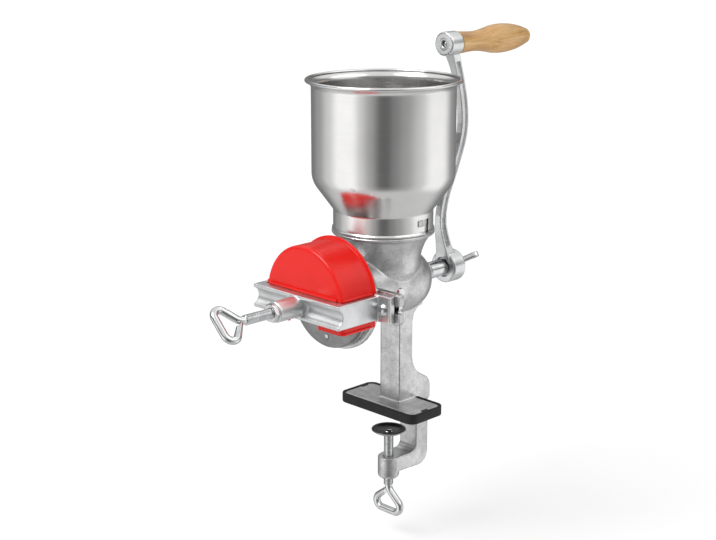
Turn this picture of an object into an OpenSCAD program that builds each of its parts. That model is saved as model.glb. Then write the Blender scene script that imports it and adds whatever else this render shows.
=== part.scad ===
// Hand grain mill: tall hopper, worm feed, plate burrs, crank and table clamp.
// Millimetres. X runs along the yoke's bar, Y along the shaft from the
// adjusting screw to the crank, and Z is up from the table's top face.
// The hopper's axis is the Z axis.

/* [Clamp] */
// Width of the clamp plate
plate_w = 97; // [80:1:110]
// Depth of the clamp plate
plate_d = 42; // [36:1:48]
// Thickness of the clamp plate
plate_t = 6.4; // [5:0.2:9]
// Wall of the rubber boot round the plate
boot_wall = 3; // [2:0.5:3.5]
// Floor of the rubber boot under the plate
boot_floor = 3; // [2:0.5:5]
// Width of the clamp frame
frame_w = 23; // [16:1:26]
// Depth of the clamp frame's back
frame_d = 18; // [15:1:24]
// Drop from the table face to the lower arm
jaw_h = 51; // [44:1:64]
// Reach from the clamp screw to the frame's back
jaw_d = 28.5; // [26:0.5:36]
// Thickness of the lower arm
arm_t = 17; // [12:1:22]
// Radius of the clamp screw's boss
clamp_boss_r = 11; // [9:0.5:14]
// Height of the clamp screw's boss
clamp_boss_h = 23.5; // [20:0.5:30]
// Gap between the pad and the table face as stored
jaw_gap = 21.5; // [18:0.5:24]
// Radius of the clamp pad
pad_r = 17.5; // [14:0.5:20]

/* [Hand screws] */
// Radius of both hand screws over their threads
screw_r = 4.9; // [4:0.1:6]
// Radius of the wire in the loop handles
wire_r = 3.7; // [3:0.1:4.2]
// Width of a loop handle between wire centres
loop_w = 35; // [30:1:44]
// Length of a loop handle to the base wire
loop_h = 27; // [25:1:36]
// Run of the adjusting screw ahead of the yoke as stored
adjust_l = 37; // [32:1:44]
// Turn of the adjusting screw's loop about its axis
loop_turn = 225; // [180:1:270]

/* [Column] */
// Width of the column
column_w = 27; // [24:1:32]
// Depth of the column
column_d = 19.5; // [15:0.5:24]
// Set-back of the column's front face from the hopper's axis
column_y = 10; // [6:1:13]

/* [Mill head] */
// Height of the shaft above the table
axis_z = 133; // [122:1:150]
// Distance from the hopper's axis to the burr seat
burr_seat = 63.5; // [60:0.5:72]
// Thickness of the burr flange
flange_t = 5; // [4.5:0.5:8]
// Radius of the worm's chamber
chamber_r = 26; // [24:0.5:28]
// Wall of the barrel round the chamber
barrel_wall = 6; // [4.5:0.5:8]
// Start of the barrel's rounded end
dome_y = 24; // [20:1:30]
// Radius of the rear bearing
bearing_r = 12; // [11:0.5:15]
// End of the rear bearing
bearing_y = 62; // [60:1:72]
// Rise from the shaft to the hopper's seat
throat_h = 55.5; // [50:0.5:66]
// Height of the collar inside the hopper's neck
collar_h = 16; // [14:0.5:18]

/* [Hopper] */
// Radius of the hopper's wall
hopper_r = 69.3; // [62:0.1:78]
// Height of the hopper from its seat to its rim
hopper_h = 146; // [130:1:175]
// Radius of the hopper's neck
neck_r = 48.7; // [47:0.1:52]
// Height of the hopper's neck
neck_h = 20.5; // [18.5:0.5:26]
// Reach of the rim beyond the wall
rim_reach = 6; // [4:0.1:9]
// Thickness of the hopper's sheet
sheet_t = 0.8; // [0.6:0.1:1.2]
// Turn of the bayonet from locked to free
bayonet_turn = 12; // [8:1:16]

/* [Burrs] */
// Radius of both burrs
burr_r = 49; // [45:0.5:52]
// Thickness of each burr
burr_t = 4; // [3:0.5:6]
// Gap between the burrs as stored
burr_gap = 0.8; // [0.6:0.1:2]
// Thickness of the burr carrier
carrier_t = 4.5; // [3.5:0.5:7]
// Number of grooves in each burr's outer ring
groove_count = 36; // [24:4:48]

/* [Yoke and guard] */
// Depth of the guard from its front to the flange
guard_depth = 43; // [40:1:52]
// Wall of the guard
guard_wall = 1.8; // [1.5:0.1:3]
// Reach of the guard's rear lip
guard_lip = 3; // [2.5:0.5:5]
// Height of the yoke's bar and arms
bar_h = 23; // [19:1:26]
// Depth of the yoke's bar
bar_d = 11; // [9:0.5:14]
// Length of the yoke's screw boss ahead of the bar
yoke_boss_l = 25.5; // [18:0.5:32]
// Thickness of the yoke's arms
yoke_arm_t = 5.5; // [4:0.5:7]
// Width of each yoke foot
foot_w = 15; // [14:0.5:19]
// Thickness of each yoke foot
foot_t = 7; // [5:0.5:9]
// Reach of the casting's ears beyond the yoke's feet
ear_reach = 5.5; // [3:0.5:9]
// Radius of the yoke's bolts
bolt_r = 3; // [2.5:0.1:3.5]

/* [Crank] */
// Radius of the crank's circle
crank_r = 227; // [200:1:250]
// Radius of the shaft
shaft_r = 8.5; // [8:0.1:9.5]
// Shaft left bare between the bearing and the crank
shaft_bare = 26; // [20:0.5:32]
// Radius of the crank's hub
hub_r = 16.5; // [15:0.5:20]
// Length of the crank's hub
hub_l = 18; // [16:0.5:24]
// Width of the crank's arm
crank_w = 7.5; // [6:0.5:10]
// Depth of the crank's arm
crank_d = 9.5; // [8:0.5:13]
// Bow of the crank's arm away from the hopper
crank_bow = 22; // [16:0.5:30]
// Dip of the crank's arm towards the hopper, low down
crank_dip = 9.5; // [4:0.5:11]
// Radius of the crank's handle boss
boss_r = 12; // [10.5:0.5:15]
// Length of the crank's handle boss
boss_l = 18; // [14:0.5:22]
// Length of the wooden grip
grip_l = 108; // [95:1:125]
// Radius of the wooden grip at its widest
grip_r = 14.8; // [13:0.1:18]
// Radius of the grip's spindle
spindle_r = 4; // [3.5:0.1:5]

/* [Fits] */
// Radial clearance of a turning or sliding fit
run_fit = 0.08; // [0.05:0.01:0.1]
// Face clearance between pieces that turn on each other
face_gap = 0.4; // [0.3:0.1:0.8]

/* [Hidden] */
$fn = 64;

// Clamp, measured from the table face
plate_z = boot_floor;
plate_top = plate_z + plate_t;
screw_y = 9.5;
back_y = screw_y + jaw_d;
plate_y = back_y - boot_wall - plate_d / 2 - 1;
rear_y = back_y + frame_d;
frame_corner_r = 13;
jaw_fillet = 7;
arm_top = -jaw_h;
arm_low = arm_top - arm_t;
boss_low = arm_top - clamp_boss_h;
boot_rim = plate_top + 0.6;
pad_top = -jaw_gap;
pad_rise = 3.2;
pad_t = 2;
pad_floor = pad_top - pad_rise - pad_t;
tip_r = 3;
clamp_apex = boss_low - 9.5;

// Loop handles
bend_r = 6;
loop_c = loop_w / 2 - bend_r;
loop_drop = loop_h - bend_r;
loop_far = sqrt(loop_c * loop_c + loop_drop * loop_drop);
loop_lean = atan2(loop_c, loop_drop) + asin(bend_r / loop_far);
leg_l = sqrt(loop_far * loop_far - bend_r * bend_r);
cut_start = wire_r * 1.5;
top_bend_r = 8;
top_bend_l = top_bend_r * tan(loop_lean / 2);
wire_lap = 0.2;
bend_slim = 0.05;
shank_from = -1.5;

// Mill head
barrel_r = chamber_r + barrel_wall;
seat_y = -burr_seat;
flange_back = seat_y + flange_t;
seat_z = axis_z + throat_h;
collar_r = neck_r - sheet_t - 0.5;
collar_in = collar_r - 3.4;
ledge_r = neck_r + 1.6;
throat_low_z = axis_z + 0.5 * barrel_r;
throat_r = barrel_r + 4.5;
throat_wall = 3;
throat_flare_z = axis_z + 22;
throat_rise = seat_z - 4.3 - throat_flare_z;
throat_spread = ledge_r - 3.6 - throat_r;
throat_flare = (pow(throat_rise, 2) + pow(throat_spread, 2)) / (2 * throat_spread);
throat_sweep = 2 * atan(throat_spread / throat_rise);
throat_flare_r = throat_r + throat_flare;
throat_inner = throat_flare + throat_wall;
throat_turn = acos((throat_flare_r - collar_in) / throat_inner);
chamber_end = dome_y + 6;
chamber_close = dome_y + 22;
column_back = column_y + column_d;
column_flare = 14;
column_cut = axis_z - barrel_r - 20;
heel_r = 13;
heel_z = plate_top + 7.6;
heel_turn = 60;
foot_flare = 24;
heel_slope_l = rear_y - column_back - (heel_r + foot_flare) * (1 - cos(heel_turn));
foot_flare_z = heel_z + (heel_r + foot_flare) * sin(heel_turn) + heel_slope_l / tan(heel_turn);
lug_low = seat_z + 9.5;
lug_h = 5.5;
lug_turn = 7;

// Hopper
neck_top = seat_z + neck_h;
rim_z = seat_z + hopper_h;
shoulder_r = 25;
cone_lean = 35.4;
cone_n = [cos(cone_lean), -sin(cone_lean)];
shoulder_meet = hopper_r - shoulder_r * (1 - cone_n[0]);
shoulder_z = neck_top + (shoulder_meet - neck_r - 0.5) / tan(cone_lean) + shoulder_r * sin(cone_lean);
bead_r = 1.7;
rim_c = hopper_r + rim_reach - bead_r;
flare_z = rim_z - 2 * rim_reach + bead_r;
foot_bead = 1.2;
foot_z = seat_z + face_gap;
slot_gap = 0.4;
slot_play = 0.6;

// Burr stack along the shaft, front faces first
fixed_front = seat_y - burr_t;
rotary_back = fixed_front - burr_gap;
rotary_front = rotary_back - burr_t;
carrier_front = rotary_front - carrier_t;
carrier_hub_r = 13;
carrier_hub_l = 12;
carrier_nose = carrier_front - carrier_hub_l;
stub_r = shaft_r - 1.5;
stub_front = carrier_nose + 4;
pin_y = carrier_nose + 8;
pin_r = 2;
ball_r = 4;
ball_y = carrier_nose - 1.7;
screw_tip = carrier_nose - 3.4;
burr_in = chamber_r + 0.5;
screw_ring = (burr_in + burr_r) / 2;
burr_screw_r = 2.2;
rivet_r = 2;

// Guard and yoke
guard_in = burr_r + 0.8;
guard_r = guard_in + guard_wall;
flange_r = guard_r + 0.5;
guard_back = seat_y;
guard_front = guard_back - guard_depth;
arch_z = axis_z + 4;
skirt_z = axis_z - 20;
bar_top = axis_z + bar_h / 2;
bar_low = axis_z - bar_h / 2;
foot_top = bar_top + 1.5;
foot_low = bar_low - 1.5;
bar_back = guard_front;
bar_front = bar_back - bar_d;
yoke_nose = bar_front - yoke_boss_l;
yoke_boss_r = screw_r + 5.1;
yoke_in = guard_r + 0.8;
yoke_out = yoke_in + yoke_arm_t;
foot_end = yoke_out + foot_w;
ear_end = foot_end + ear_reach;
bolt_head_r = bolt_r + 3;
bolt_x = yoke_out + bolt_head_r + 0.3;
foot_back = seat_y + 4;
foot_front = foot_back - foot_t;
ear_t = 7;
ear_back = foot_back + ear_t;
ear_h = 30;
washer_r = bolt_r + 4.5;
washer_t = 1.4;
nut_y = ear_back + washer_t;
nut_l = 7;
wing_t = 3.6;
cove_r = 8.33;
cove_depth = 6;
boss_fillet = 5;
boss_spread = bar_front + cove_depth - boss_fillet + 0.4;
bolt_head_h = 3.6;
bolt_dome_r = 7;
bolt_end = nut_y + nut_l + 4 - foot_front;

// Adjusting screw
lock_t = 5;
lock_back = yoke_nose;
adjust_apex = yoke_nose - adjust_l;

// Crank
hub_y = bearing_y + shaft_bare;
hub_end = hub_y + hub_l;
hub_recess = 2.5;
recess_r = shaft_r + 1.4;
arm_y = hub_y + crank_d / 2 + 0.6;
crank_top = axis_z + crank_r;
boss_y = arm_y - boss_l / 2;
boss_end = boss_y + boss_l;
tail_r = shaft_r - 1;
flat_h = tail_r * 0.78;
tail_end = hub_end - 1.5;
wing_screw_r = 4;
wing_screw_turn = -34;
wing_screw_reach = wing_screw_r + 17;
wing_screw_rise = 15.5;
wing_screw_h = 8;
wing_screw_t = 6.2;
grip_y = boss_end + face_gap;
grip_end = grip_y + grip_l;
facing_r = max(boss_r, grip_at(0)) + 1;
head_sink = 9;
head_y = grip_end - head_sink;
head_r = spindle_r + 2.5;
arm_steps = 22;

// Worm
worm_front = seat_y + 1.5;
worm_back = dome_y + 4;
worm_l = worm_back - worm_front;
worm_r = chamber_r - 1.5;
worm_core = shaft_r + 2.5;
worm_turns = 2.4;
flight_turn = 56;

// Points along an arc
function arc(c, r, a, b, n = 6) =
    [for (i = [0:n]) c + r * [cos(a + (b - a) * i / n), sin(a + (b - a) * i / n)]];

// Outline of a rectangle with rounded corners
function rounded(w, h, r) = concat(
    arc([w / 2 - r, h / 2 - r], r, 0, 90),
    arc([r - w / 2, h / 2 - r], r, 90, 180),
    arc([r - w / 2, r - h / 2], r, 180, 270),
    arc([w / 2 - r, r - h / 2], r, 270, 360));

// Stands a piece on the shaft's axis, its own Z along Y
module on_shaft(y = 0) translate([0, y, axis_z]) rotate([-90, 0, 0]) children();

// Stands a Y and Z outline up, w wide across X
module across(w) rotate([90, 0, 90]) linear_extrude(w, center = true) children();

// Stands an X and Z outline up, from y back by t
module upright(y, t) translate([0, y + t, 0]) rotate([90, 0, 0]) linear_extrude(t) children();

// Mill body casting

module barrel() on_shaft() rotate_extrude($fn = 96) polygon(concat(
    [[0, seat_y], [flange_r, seat_y], [flange_r, flange_back]],
    arc([barrel_r + 6, flange_back + 6], 6, 270, 180),
    arc([0, dome_y], barrel_r, 0, acos((bearing_r + 4) / barrel_r), 10),
    arc([bearing_r + 6, dome_y + sqrt(pow(barrel_r, 2) - pow(bearing_r + 4, 2)) + 5], 6, 225, 180, 4),
    [[bearing_r, bearing_y - 1.2], [bearing_r - 1.2, bearing_y], [0, bearing_y]]));

// The throat flares like a trumpet to a thin ledge, with a collar above it
module throat() rotate_extrude($fn = 96) polygon(concat(
    [[0, axis_z], [barrel_r - 5, axis_z], [throat_r - 1.2, throat_low_z]],
    arc([throat_flare_r, throat_flare_z], throat_flare, 180, 180 - throat_sweep, 10),
    [[ledge_r - 0.8, seat_z - 3.2], [ledge_r, seat_z - 2.4], [ledge_r, seat_z - 0.8]],
    [[ledge_r - 0.8, seat_z], [collar_r, seat_z]],
    [[collar_r, seat_z + collar_h], [0, seat_z + collar_h]]));

module throat_inside() rotate_extrude($fn = 96) polygon(concat(
    [[0, axis_z], [chamber_r - 2, axis_z], [chamber_r + 1, throat_low_z]],
    arc([throat_flare_r, throat_flare_z], throat_inner, 180, 180 - throat_turn, 8),
    [[collar_in, seat_z + collar_h + 1], [0, seat_z + collar_h + 1]]));

module chamber() on_shaft() rotate_extrude($fn = 96) polygon([
    [0, seat_y - 1], [chamber_r, seat_y - 1], [chamber_r, chamber_end],
    [shaft_r + 1.5, chamber_close], [0, chamber_close]]);

module bayonet_lug(side) rotate([0, 0, side > 0 ? 0 : 180]) translate([0, 0, lug_low])
    rotate([0, 0, -lug_turn / 2]) rotate_extrude(angle = lug_turn, $fn = 96)
        translate([collar_r - 1, 0]) square([ledge_r - 0.6 - collar_r + 1, lug_h]);

module ear_plate() upright(foot_back, ear_t) translate([0, axis_z])
    polygon(rounded(2 * ear_end, ear_h, 4));

module ear_slot(side) {
    translate([side * bolt_x, foot_back - 1, axis_z]) rotate([-90, 0, 0])
        cylinder(h = ear_t + 2, r = bolt_r + 0.8);
    translate([side > 0 ? bolt_x : -ear_end - 1, foot_back - 1, axis_z - bolt_r - 0.8])
        cube([ear_end - bolt_x + 1, ear_t + 2, 2 * bolt_r + 1.6]);
}

// The column's upper part, flared into the barrel
module column_top() across(column_w) polygon(concat(
    [[column_y, column_cut], [column_back, column_cut]],
    arc([column_back + column_flare, axis_z - barrel_r - 10], column_flare, 180, 90),
    [[column_back + column_flare, axis_z - 12], [column_y - column_flare, axis_z - 12]],
    arc([column_y - column_flare, axis_z - barrel_r - 10], column_flare, 90, 0)));

// The column's lower part, flared back over the clamp frame
module column_foot() across(column_w) polygon(concat(
    [[column_y, plate_z], [rear_y, plate_z]],
    arc([rear_y - heel_r, heel_z], heel_r, 0, heel_turn),
    arc([column_back + foot_flare, foot_flare_z], foot_flare, 180 + heel_turn, 180),
    [[column_back, column_cut], [column_y, column_cut]]));

module clamp_frame() across(frame_w) polygon(concat(
    [[back_y, plate_z + 1]],
    arc([back_y - jaw_fillet, arm_top + jaw_fillet], jaw_fillet, 0, -90),
    [[screw_y, arm_top], [screw_y, arm_low + 1.5]],
    arc([rear_y - frame_corner_r, arm_low + frame_corner_r], frame_corner_r, 270, 360, 10),
    [[rear_y, plate_z + 1]]));

module clamp_boss() translate([0, screw_y, boss_low]) rotate_extrude() polygon([
    [0, 0], [clamp_boss_r - 2.5, 0], [clamp_boss_r, 3], [clamp_boss_r, clamp_boss_h], [0, clamp_boss_h]]);

module plate() translate([0, plate_y, plate_z]) linear_extrude(plate_t) polygon(rounded(plate_w, plate_d, 6));

// The casting's upper half, which meets its stand in the column
module mill_head() color("silver") difference() {
    union() {
        barrel();
        throat();
        ear_plate();
        column_top();
        bayonet_lug(1);
        bayonet_lug(-1);
    }
    throat_inside();
    chamber();
    on_shaft(chamber_close - 1) cylinder(h = bearing_y - chamber_close + 2, r = shaft_r + run_fit);
    ear_slot(1);
    ear_slot(-1);
    burr_ring(screw_ring, 90) on_shaft(seat_y - 1) cylinder(h = flange_t + 2, r = burr_screw_r, $fn = 24);
}

// The casting's lower half: column, clamp plate and clamp frame
module clamp_stand() color("silver") difference() {
    union() {
        column_foot();
        clamp_frame();
        clamp_boss();
        plate();
    }
    translate([0, screw_y, boss_low - 1]) cylinder(h = clamp_boss_h + 2, r = screw_r + run_fit);
}

// Three places round the shaft
module burr_ring(r, start) for (a = [start:120:start + 240])
    translate([r * cos(a), 0, r * sin(a)]) children();

// Burrs

// Grooves in a burr's face at zero: fine ones to the edge and coarse ones from the hole
module grooves() {
    for (i = [0:groove_count - 1]) rotate([0, 0, i * 360 / groove_count])
        translate([burr_in + 8, 0, 0]) rotate([0, 0, 12]) rotate([45, 0, 0])
            translate([0, -0.9, -0.9]) cube([burr_r, 1.8, 1.8]);
    for (i = [0:groove_count / 3 - 1]) rotate([0, 0, (i + 0.5) * 1080 / groove_count])
        translate([burr_in - 3, 0, 0]) rotate([0, 0, 16]) rotate([45, 0, 0])
            translate([0, -1.3, -1.3]) cube([13, 2.6, 2.6]);
}

module fixed_burr() color("dimgray") difference() {
    on_shaft(fixed_front) difference() {
        cylinder(h = burr_t, r = burr_r, $fn = 96);
        translate([0, 0, -1]) cylinder(h = burr_t + 2, r = burr_in, $fn = 96);
        grooves();
    }
    burr_ring(screw_ring, 90) on_shaft(fixed_front) burr_screw(2.4, burr_t + 1);
}

// A flat-headed screw or rivet, its head's face at zero
module burr_screw(head, l) rotate_extrude($fn = 32) polygon([
    [0, 0], [burr_screw_r + head, 0], [burr_screw_r, head], [burr_screw_r, l], [0, l]]);

module fixed_burr_screws() color("gray") burr_ring(screw_ring, 90)
    on_shaft(fixed_front + 1.2) burr_screw(2.4 - 1.2, burr_t - 1.2 + flange_t - 0.5);

module rotary_burr() color("dimgray") difference() {
    on_shaft(rotary_back) mirror([0, 0, 1]) difference() {
        cylinder(h = burr_t, r = burr_r, $fn = 96);
        translate([0, 0, -1]) cylinder(h = burr_t + 2, r = burr_in - 6, $fn = 96);
        grooves();
    }
    burr_ring(screw_ring, 30) on_shaft(rotary_front - 1) cylinder(h = burr_t + 2, r = rivet_r, $fn = 24);
}

module rotary_burr_rivets() color("gray") burr_ring(screw_ring, 30)
    on_shaft(carrier_front) cylinder(h = carrier_t + burr_t - 1.4, r = rivet_r, $fn = 24);

module burr_carrier() color("silver") difference() {
    on_shaft() rotate_extrude($fn = 96) polygon(concat(
        [[0, carrier_nose], [carrier_hub_r - 1, carrier_nose], [carrier_hub_r, carrier_nose + 1]],
        arc([carrier_hub_r + 4, carrier_front - 4], 4, 180, 90, 5),
        [[burr_r - 1.6, carrier_front], [burr_r - 0.6, carrier_front + 1], [burr_r - 0.6, rotary_front]],
        [[0, rotary_front]]));
    on_shaft(stub_front) cylinder(h = burr_seat, r = stub_r + run_fit);
    translate([0, ball_y, axis_z]) sphere(r = ball_r + run_fit);
    translate([-carrier_hub_r - 1, pin_y, axis_z]) rotate([0, 90, 0])
        cylinder(h = 2 * carrier_hub_r + 2, r = pin_r, $fn = 24);
    burr_ring(screw_ring, 30) on_shaft(carrier_front - 1) cylinder(h = carrier_t + 2, r = rivet_r, $fn = 24);
}

module drive_pin() color("gray") translate([-carrier_hub_r + 0.6, pin_y, axis_z]) rotate([0, 90, 0])
    cylinder(h = 2 * carrier_hub_r - 1.2, r = pin_r, $fn = 24);

// Shaft and worm

module auger_shaft() color("lightgray") difference() {
    union() {
        on_shaft(stub_front) cylinder(h = rotary_back - stub_front + 2, r = stub_r);
        on_shaft(rotary_back + 1) cylinder(h = hub_y + hub_recess - rotary_back - 1, r = shaft_r);
        on_shaft(hub_y - 1) intersection() {
            cylinder(h = tail_end - hub_y + 1, r = tail_r);
            translate([-tail_r, -flat_h, 0]) cube([2 * tail_r, 2 * flat_h, hub_l + 2]);
        }
    }
    on_shaft(hub_y - 2) cylinder(h = hub_l + 4, r = wing_screw_r + 0.05, $fn = 32);
    translate([-shaft_r, pin_y, axis_z]) rotate([0, 90, 0]) cylinder(h = 2 * shaft_r, r = pin_r, $fn = 24);
}

// Worm flight as a twisted outline, cast on to the shaft
module auger_worm() color("dimgray") on_shaft(worm_front)
    linear_extrude(worm_l, twist = 360 * worm_turns, slices = 44, $fn = 20) difference() {
        union() {
            circle(worm_core, $fn = 20);
            polygon(concat([[0, 0]], arc([0, 0], worm_r, 0, flight_turn, 4)));
        }
        circle(shaft_r + 0.2, $fn = 20);
    }

// Yoke

module yoke_foot(side) difference() {
    translate([side > 0 ? yoke_in : -foot_end, foot_front, foot_low])
        cube([foot_end - yoke_in, foot_t, foot_top - foot_low]);
    translate([side * bolt_x, foot_front - 1, axis_z]) rotate([-90, 0, 0])
        cylinder(h = foot_t + 2, r = bolt_r, $fn = 32);
}

module yoke_arm(side) translate([side > 0 ? yoke_in : -yoke_out, bar_back - 2, bar_low])
    cube([yoke_arm_t, foot_back - bar_back + 2, bar_h]);

// Screw boss, with a fillet that spreads into the cove and stays within the bar's height
module yoke_boss() {
    on_shaft() rotate_extrude() polygon([
        [0, yoke_nose], [yoke_boss_r - 1, yoke_nose], [yoke_boss_r, yoke_nose + 1],
        [yoke_boss_r, bar_back], [0, bar_back]]);
    intersection() {
        on_shaft() rotate_extrude() polygon(concat(
            [[0, boss_spread]],
            arc([yoke_boss_r + boss_fillet - 0.3, boss_spread], boss_fillet, 180, 90, 5),
            [[yoke_boss_r + boss_fillet - 0.3, bar_back - 1], [0, bar_back - 1]]));
        translate([-yoke_in, bar_front - yoke_boss_l, bar_low + 0.2])
            cube([2 * yoke_in, yoke_boss_l + bar_d, bar_h - 0.4]);
    }
}

module yoke() color("silver") difference() {
    union() {
        difference() {
            translate([-yoke_out, bar_front, bar_low]) cube([2 * yoke_out, bar_d, bar_h]);
            translate([-foot_end, bar_front + cove_depth - cove_r, axis_z]) rotate([0, 90, 0])
                cylinder(h = 2 * foot_end, r = cove_r, $fn = 48);
        }
        yoke_boss();
        yoke_arm(1);
        yoke_arm(-1);
        yoke_foot(1);
        yoke_foot(-1);
    }
    on_shaft(yoke_nose - 1) cylinder(h = bar_back - yoke_nose + 2, r = screw_r + run_fit);
}

// A carriage bolt with its head's underside on the foot
module yoke_bolt(side) translate([side * bolt_x, foot_front, axis_z]) rotate([-90, 0, 0])
    rotate_extrude($fn = 32) polygon(concat(
        [[0, -bolt_head_h]], arc([0, bolt_dome_r - bolt_head_h], bolt_dome_r, -75, -35, 5),
        [[bolt_head_r, -0.6], [bolt_head_r, 0], [bolt_r, 0], [bolt_r, bolt_end], [0, bolt_end]]));

module yoke_bolts() color("lightgray") {
    yoke_bolt(1);
    yoke_bolt(-1);
}

module yoke_washers() color("lightgray") for (side = [-1, 1])
    translate([side * bolt_x, ear_back, axis_z]) rotate([-90, 0, 0]) difference() {
        cylinder(h = washer_t, r = washer_r);
        translate([0, 0, -1]) cylinder(h = washer_t + 2, r = bolt_r + 0.3, $fn = 32);
    }

// Outline of one wing, out from the axis and back from the face
module wing_outline(root, reach, rise) {
    polygon([[0, 1.5], [root, 1.5], [reach - 1, rise - 3], [reach - 6, rise + 2], [root - 1, 7], [0, 7]]);
    translate([reach - 4, rise]) circle(4, $fn = 32);
}

// A collar with a pair of wings of thickness t, its face at zero
module winged(root, reach, rise, h, t) {
    rotate_extrude() polygon([[0, 0], [root, 0], [root, h - 2], [root - 1.5, h], [0, h]]);
    for (turn = [0, 180]) rotate([0, 0, turn]) rotate([90, 0, 0])
        linear_extrude(t, center = true) wing_outline(root, reach, rise);
}

module wing_nut(side) color("lightgray") translate([side * bolt_x, nut_y, axis_z]) rotate([-90, 0, 0])
    rotate([0, 0, 90]) difference() {
        winged(bolt_r + 3, bolt_r + 13, 9, nut_l, wing_t);
        translate([0, 0, -1]) cylinder(h = nut_l + 12, r = bolt_r + run_fit, $fn = 32);
    }

module wing_nut_left() wing_nut(-1);

module wing_nut_right() wing_nut(1);

// Guard

module guard_outline() polygon(concat(
    [[0, guard_front]],
    arc([guard_r - 3, guard_front + 3], 3, 270, 360),
    [[guard_r, guard_back - 2.5], [guard_r + guard_lip, guard_back - 2.5]],
    [[guard_r + guard_lip, guard_back], [guard_in, guard_back], [guard_in, guard_front + guard_wall]],
    [[0, guard_front + guard_wall]]));

module guard() color("red") {
    difference() {
        union() {
            on_shaft() translate([0, axis_z - arch_z, 0]) rotate([0, 0, 180])
                rotate_extrude(angle = 180, $fn = 96) guard_outline();
            translate([0, 0, skirt_z]) linear_extrude(arch_z - skirt_z) guard_outline();
            mirror([1, 0, 0]) translate([0, 0, skirt_z]) linear_extrude(arch_z - skirt_z) guard_outline();
            top_beads();
        }
        for (side = [0, 1]) mirror([side, 0, 0]) {
            translate([guard_r, guard_front - 1, skirt_z - 1])
                cube([20, guard_depth + 2, bar_top - skirt_z + 1]);
            translate([guard_r, foot_front - 0.5, skirt_z - 1])
                cube([20, foot_t + 1, foot_top - skirt_z + 1]);
        }
        upright(guard_front - 1, guard_wall + 2) union() {
            translate([0, axis_z - 10]) circle(20);
            translate([-20, skirt_z - 1]) square([40, 11]);
        }
    }
    skirt_beads();
}

// Ribs that rest on the top of the yoke
module top_beads() {
    for (side = [0, 1]) mirror([side, 0, 0]) translate([guard_in + 0.5, guard_front + 2, bar_top])
        cube([guard_wall + 2.5, guard_depth - 3, 3]);
    translate([-guard_r + 6, guard_front - 2.4, bar_top]) cube([2 * guard_r - 12, 3.4, 3]);
}

// Ribs along the guard's lower edges, under the yoke
module skirt_beads() for (side = [0, 1]) mirror([side, 0, 0])
    translate([guard_in + 0.5, guard_front + 2, skirt_z]) cube([guard_wall + 2, guard_depth - 8, 2.4]);

// Rubber boot

module rubber_boot() color([0.12, 0.12, 0.12]) difference() {
    translate([0, plate_y, 0]) linear_extrude(boot_rim)
        polygon(rounded(plate_w + 2 * boot_wall, plate_d + 2 * boot_wall, 6 + boot_wall));
    translate([0, plate_y, plate_z]) linear_extrude(plate_t) polygon(rounded(plate_w, plate_d, 6));
    translate([0, plate_y, plate_top - 0.1]) linear_extrude(2) difference() {
        polygon(rounded(plate_w, plate_d, 6));
        translate([-plate_w / 2 - 1, 4]) square([4.5, 9]);
        translate([plate_w / 2 - 3.5, -6]) square([4.5, 9]);
    }
    translate([-column_w / 2 - 0.5, column_y, plate_z]) cube([column_w + 1, 80, plate_t + 4]);
}

// Hopper

// Flare from the wall out to the rolled rim, from a share a to a share b of its rise,
// for the face d inside the sheet's outside that meets the rim at an angle
function rim_at(angle) = [rim_c, rim_z - bead_r] + bead_r * [cos(angle), sin(angle)];
function flare(d, angle, a, b) = [for (i = [0:6]) let(s = a + (b - a) * i / 6, e = rim_at(angle))
    [(hopper_r - d) * (1 - s * s) + e[0] * s * s, flare_z * (1 - s) + e[1] * s]];

// The spun sheet in one outline: foot bead, neck, cone, wall, flare and rolled rim
module hopper() color("lightgray") difference() {
    rotate_extrude($fn = 96) polygon(concat(
        [[neck_r - sheet_t, foot_z], [neck_r + foot_bead, foot_z], [neck_r + foot_bead, foot_z + foot_bead]],
        [[neck_r, foot_z + 2 * foot_bead], [neck_r, neck_top]],
        arc([hopper_r - shoulder_r, shoulder_z], shoulder_r, -cone_lean, 0, 8),
        flare(0, -110, 0, 1),
        arc([rim_c, rim_z - bead_r], bead_r, -85, 190, 12),
        flare(sheet_t, 215, 1, 0),
        arc([hopper_r - shoulder_r, shoulder_z], shoulder_r - sheet_t, 0, -cone_lean, 8),
        [[neck_r - sheet_t, neck_top]]));
    bayonet_slot(0);
    bayonet_slot(180);
}

// Slot for one lug: a run round the neck and a leg down to its edge
module bayonet_slot(turn) rotate([0, 0, turn]) {
    translate([0, 0, lug_low - slot_gap]) rotate([0, 0, -lug_turn / 2 - slot_play])
        rotate_extrude(angle = lug_turn + bayonet_turn + 3 * slot_play, $fn = 96)
            translate([neck_r - 3, 0]) square([8, lug_h + 2 * slot_gap]);
    translate([0, 0, seat_z - 1]) rotate([0, 0, bayonet_turn - lug_turn / 2 - slot_play])
        rotate_extrude(angle = lug_turn + 2 * slot_play, $fn = 96)
            translate([neck_r - 3, 0]) square([8, lug_low - seat_z + 2]);
}

// Hand screws

// Loop of bent wire: the shank bends into one leg, and the other leg is welded to the shank's end.
// The legs' lines cross at zero, and each bend is a hair slimmer than the straight wire it laps.
module loop_handle() rotate([90, 0, 0]) {
    translate([-loop_c - wire_lap, -loop_h, 0]) rotate([0, 90, 0])
        cylinder(h = 2 * (loop_c + wire_lap), r = wire_r, $fn = 32);
    for (side = [0, 1]) mirror([side, 0, 0]) translate([loop_c, -loop_drop, 0]) rotate([0, 0, -90])
        wire_bend(bend_r, 90 + loop_lean);
    translate([top_bend_r, top_bend_l, 0]) rotate([0, 0, 180]) wire_bend(top_bend_r, loop_lean);
    wire_leg(loop_lean, top_bend_l - wire_lap);
    wire_leg(-loop_lean, cut_start);
}

module wire_bend(r, turn) rotate_extrude(angle = turn) translate([r, 0]) circle(wire_r - bend_slim, $fn = 32);

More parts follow.
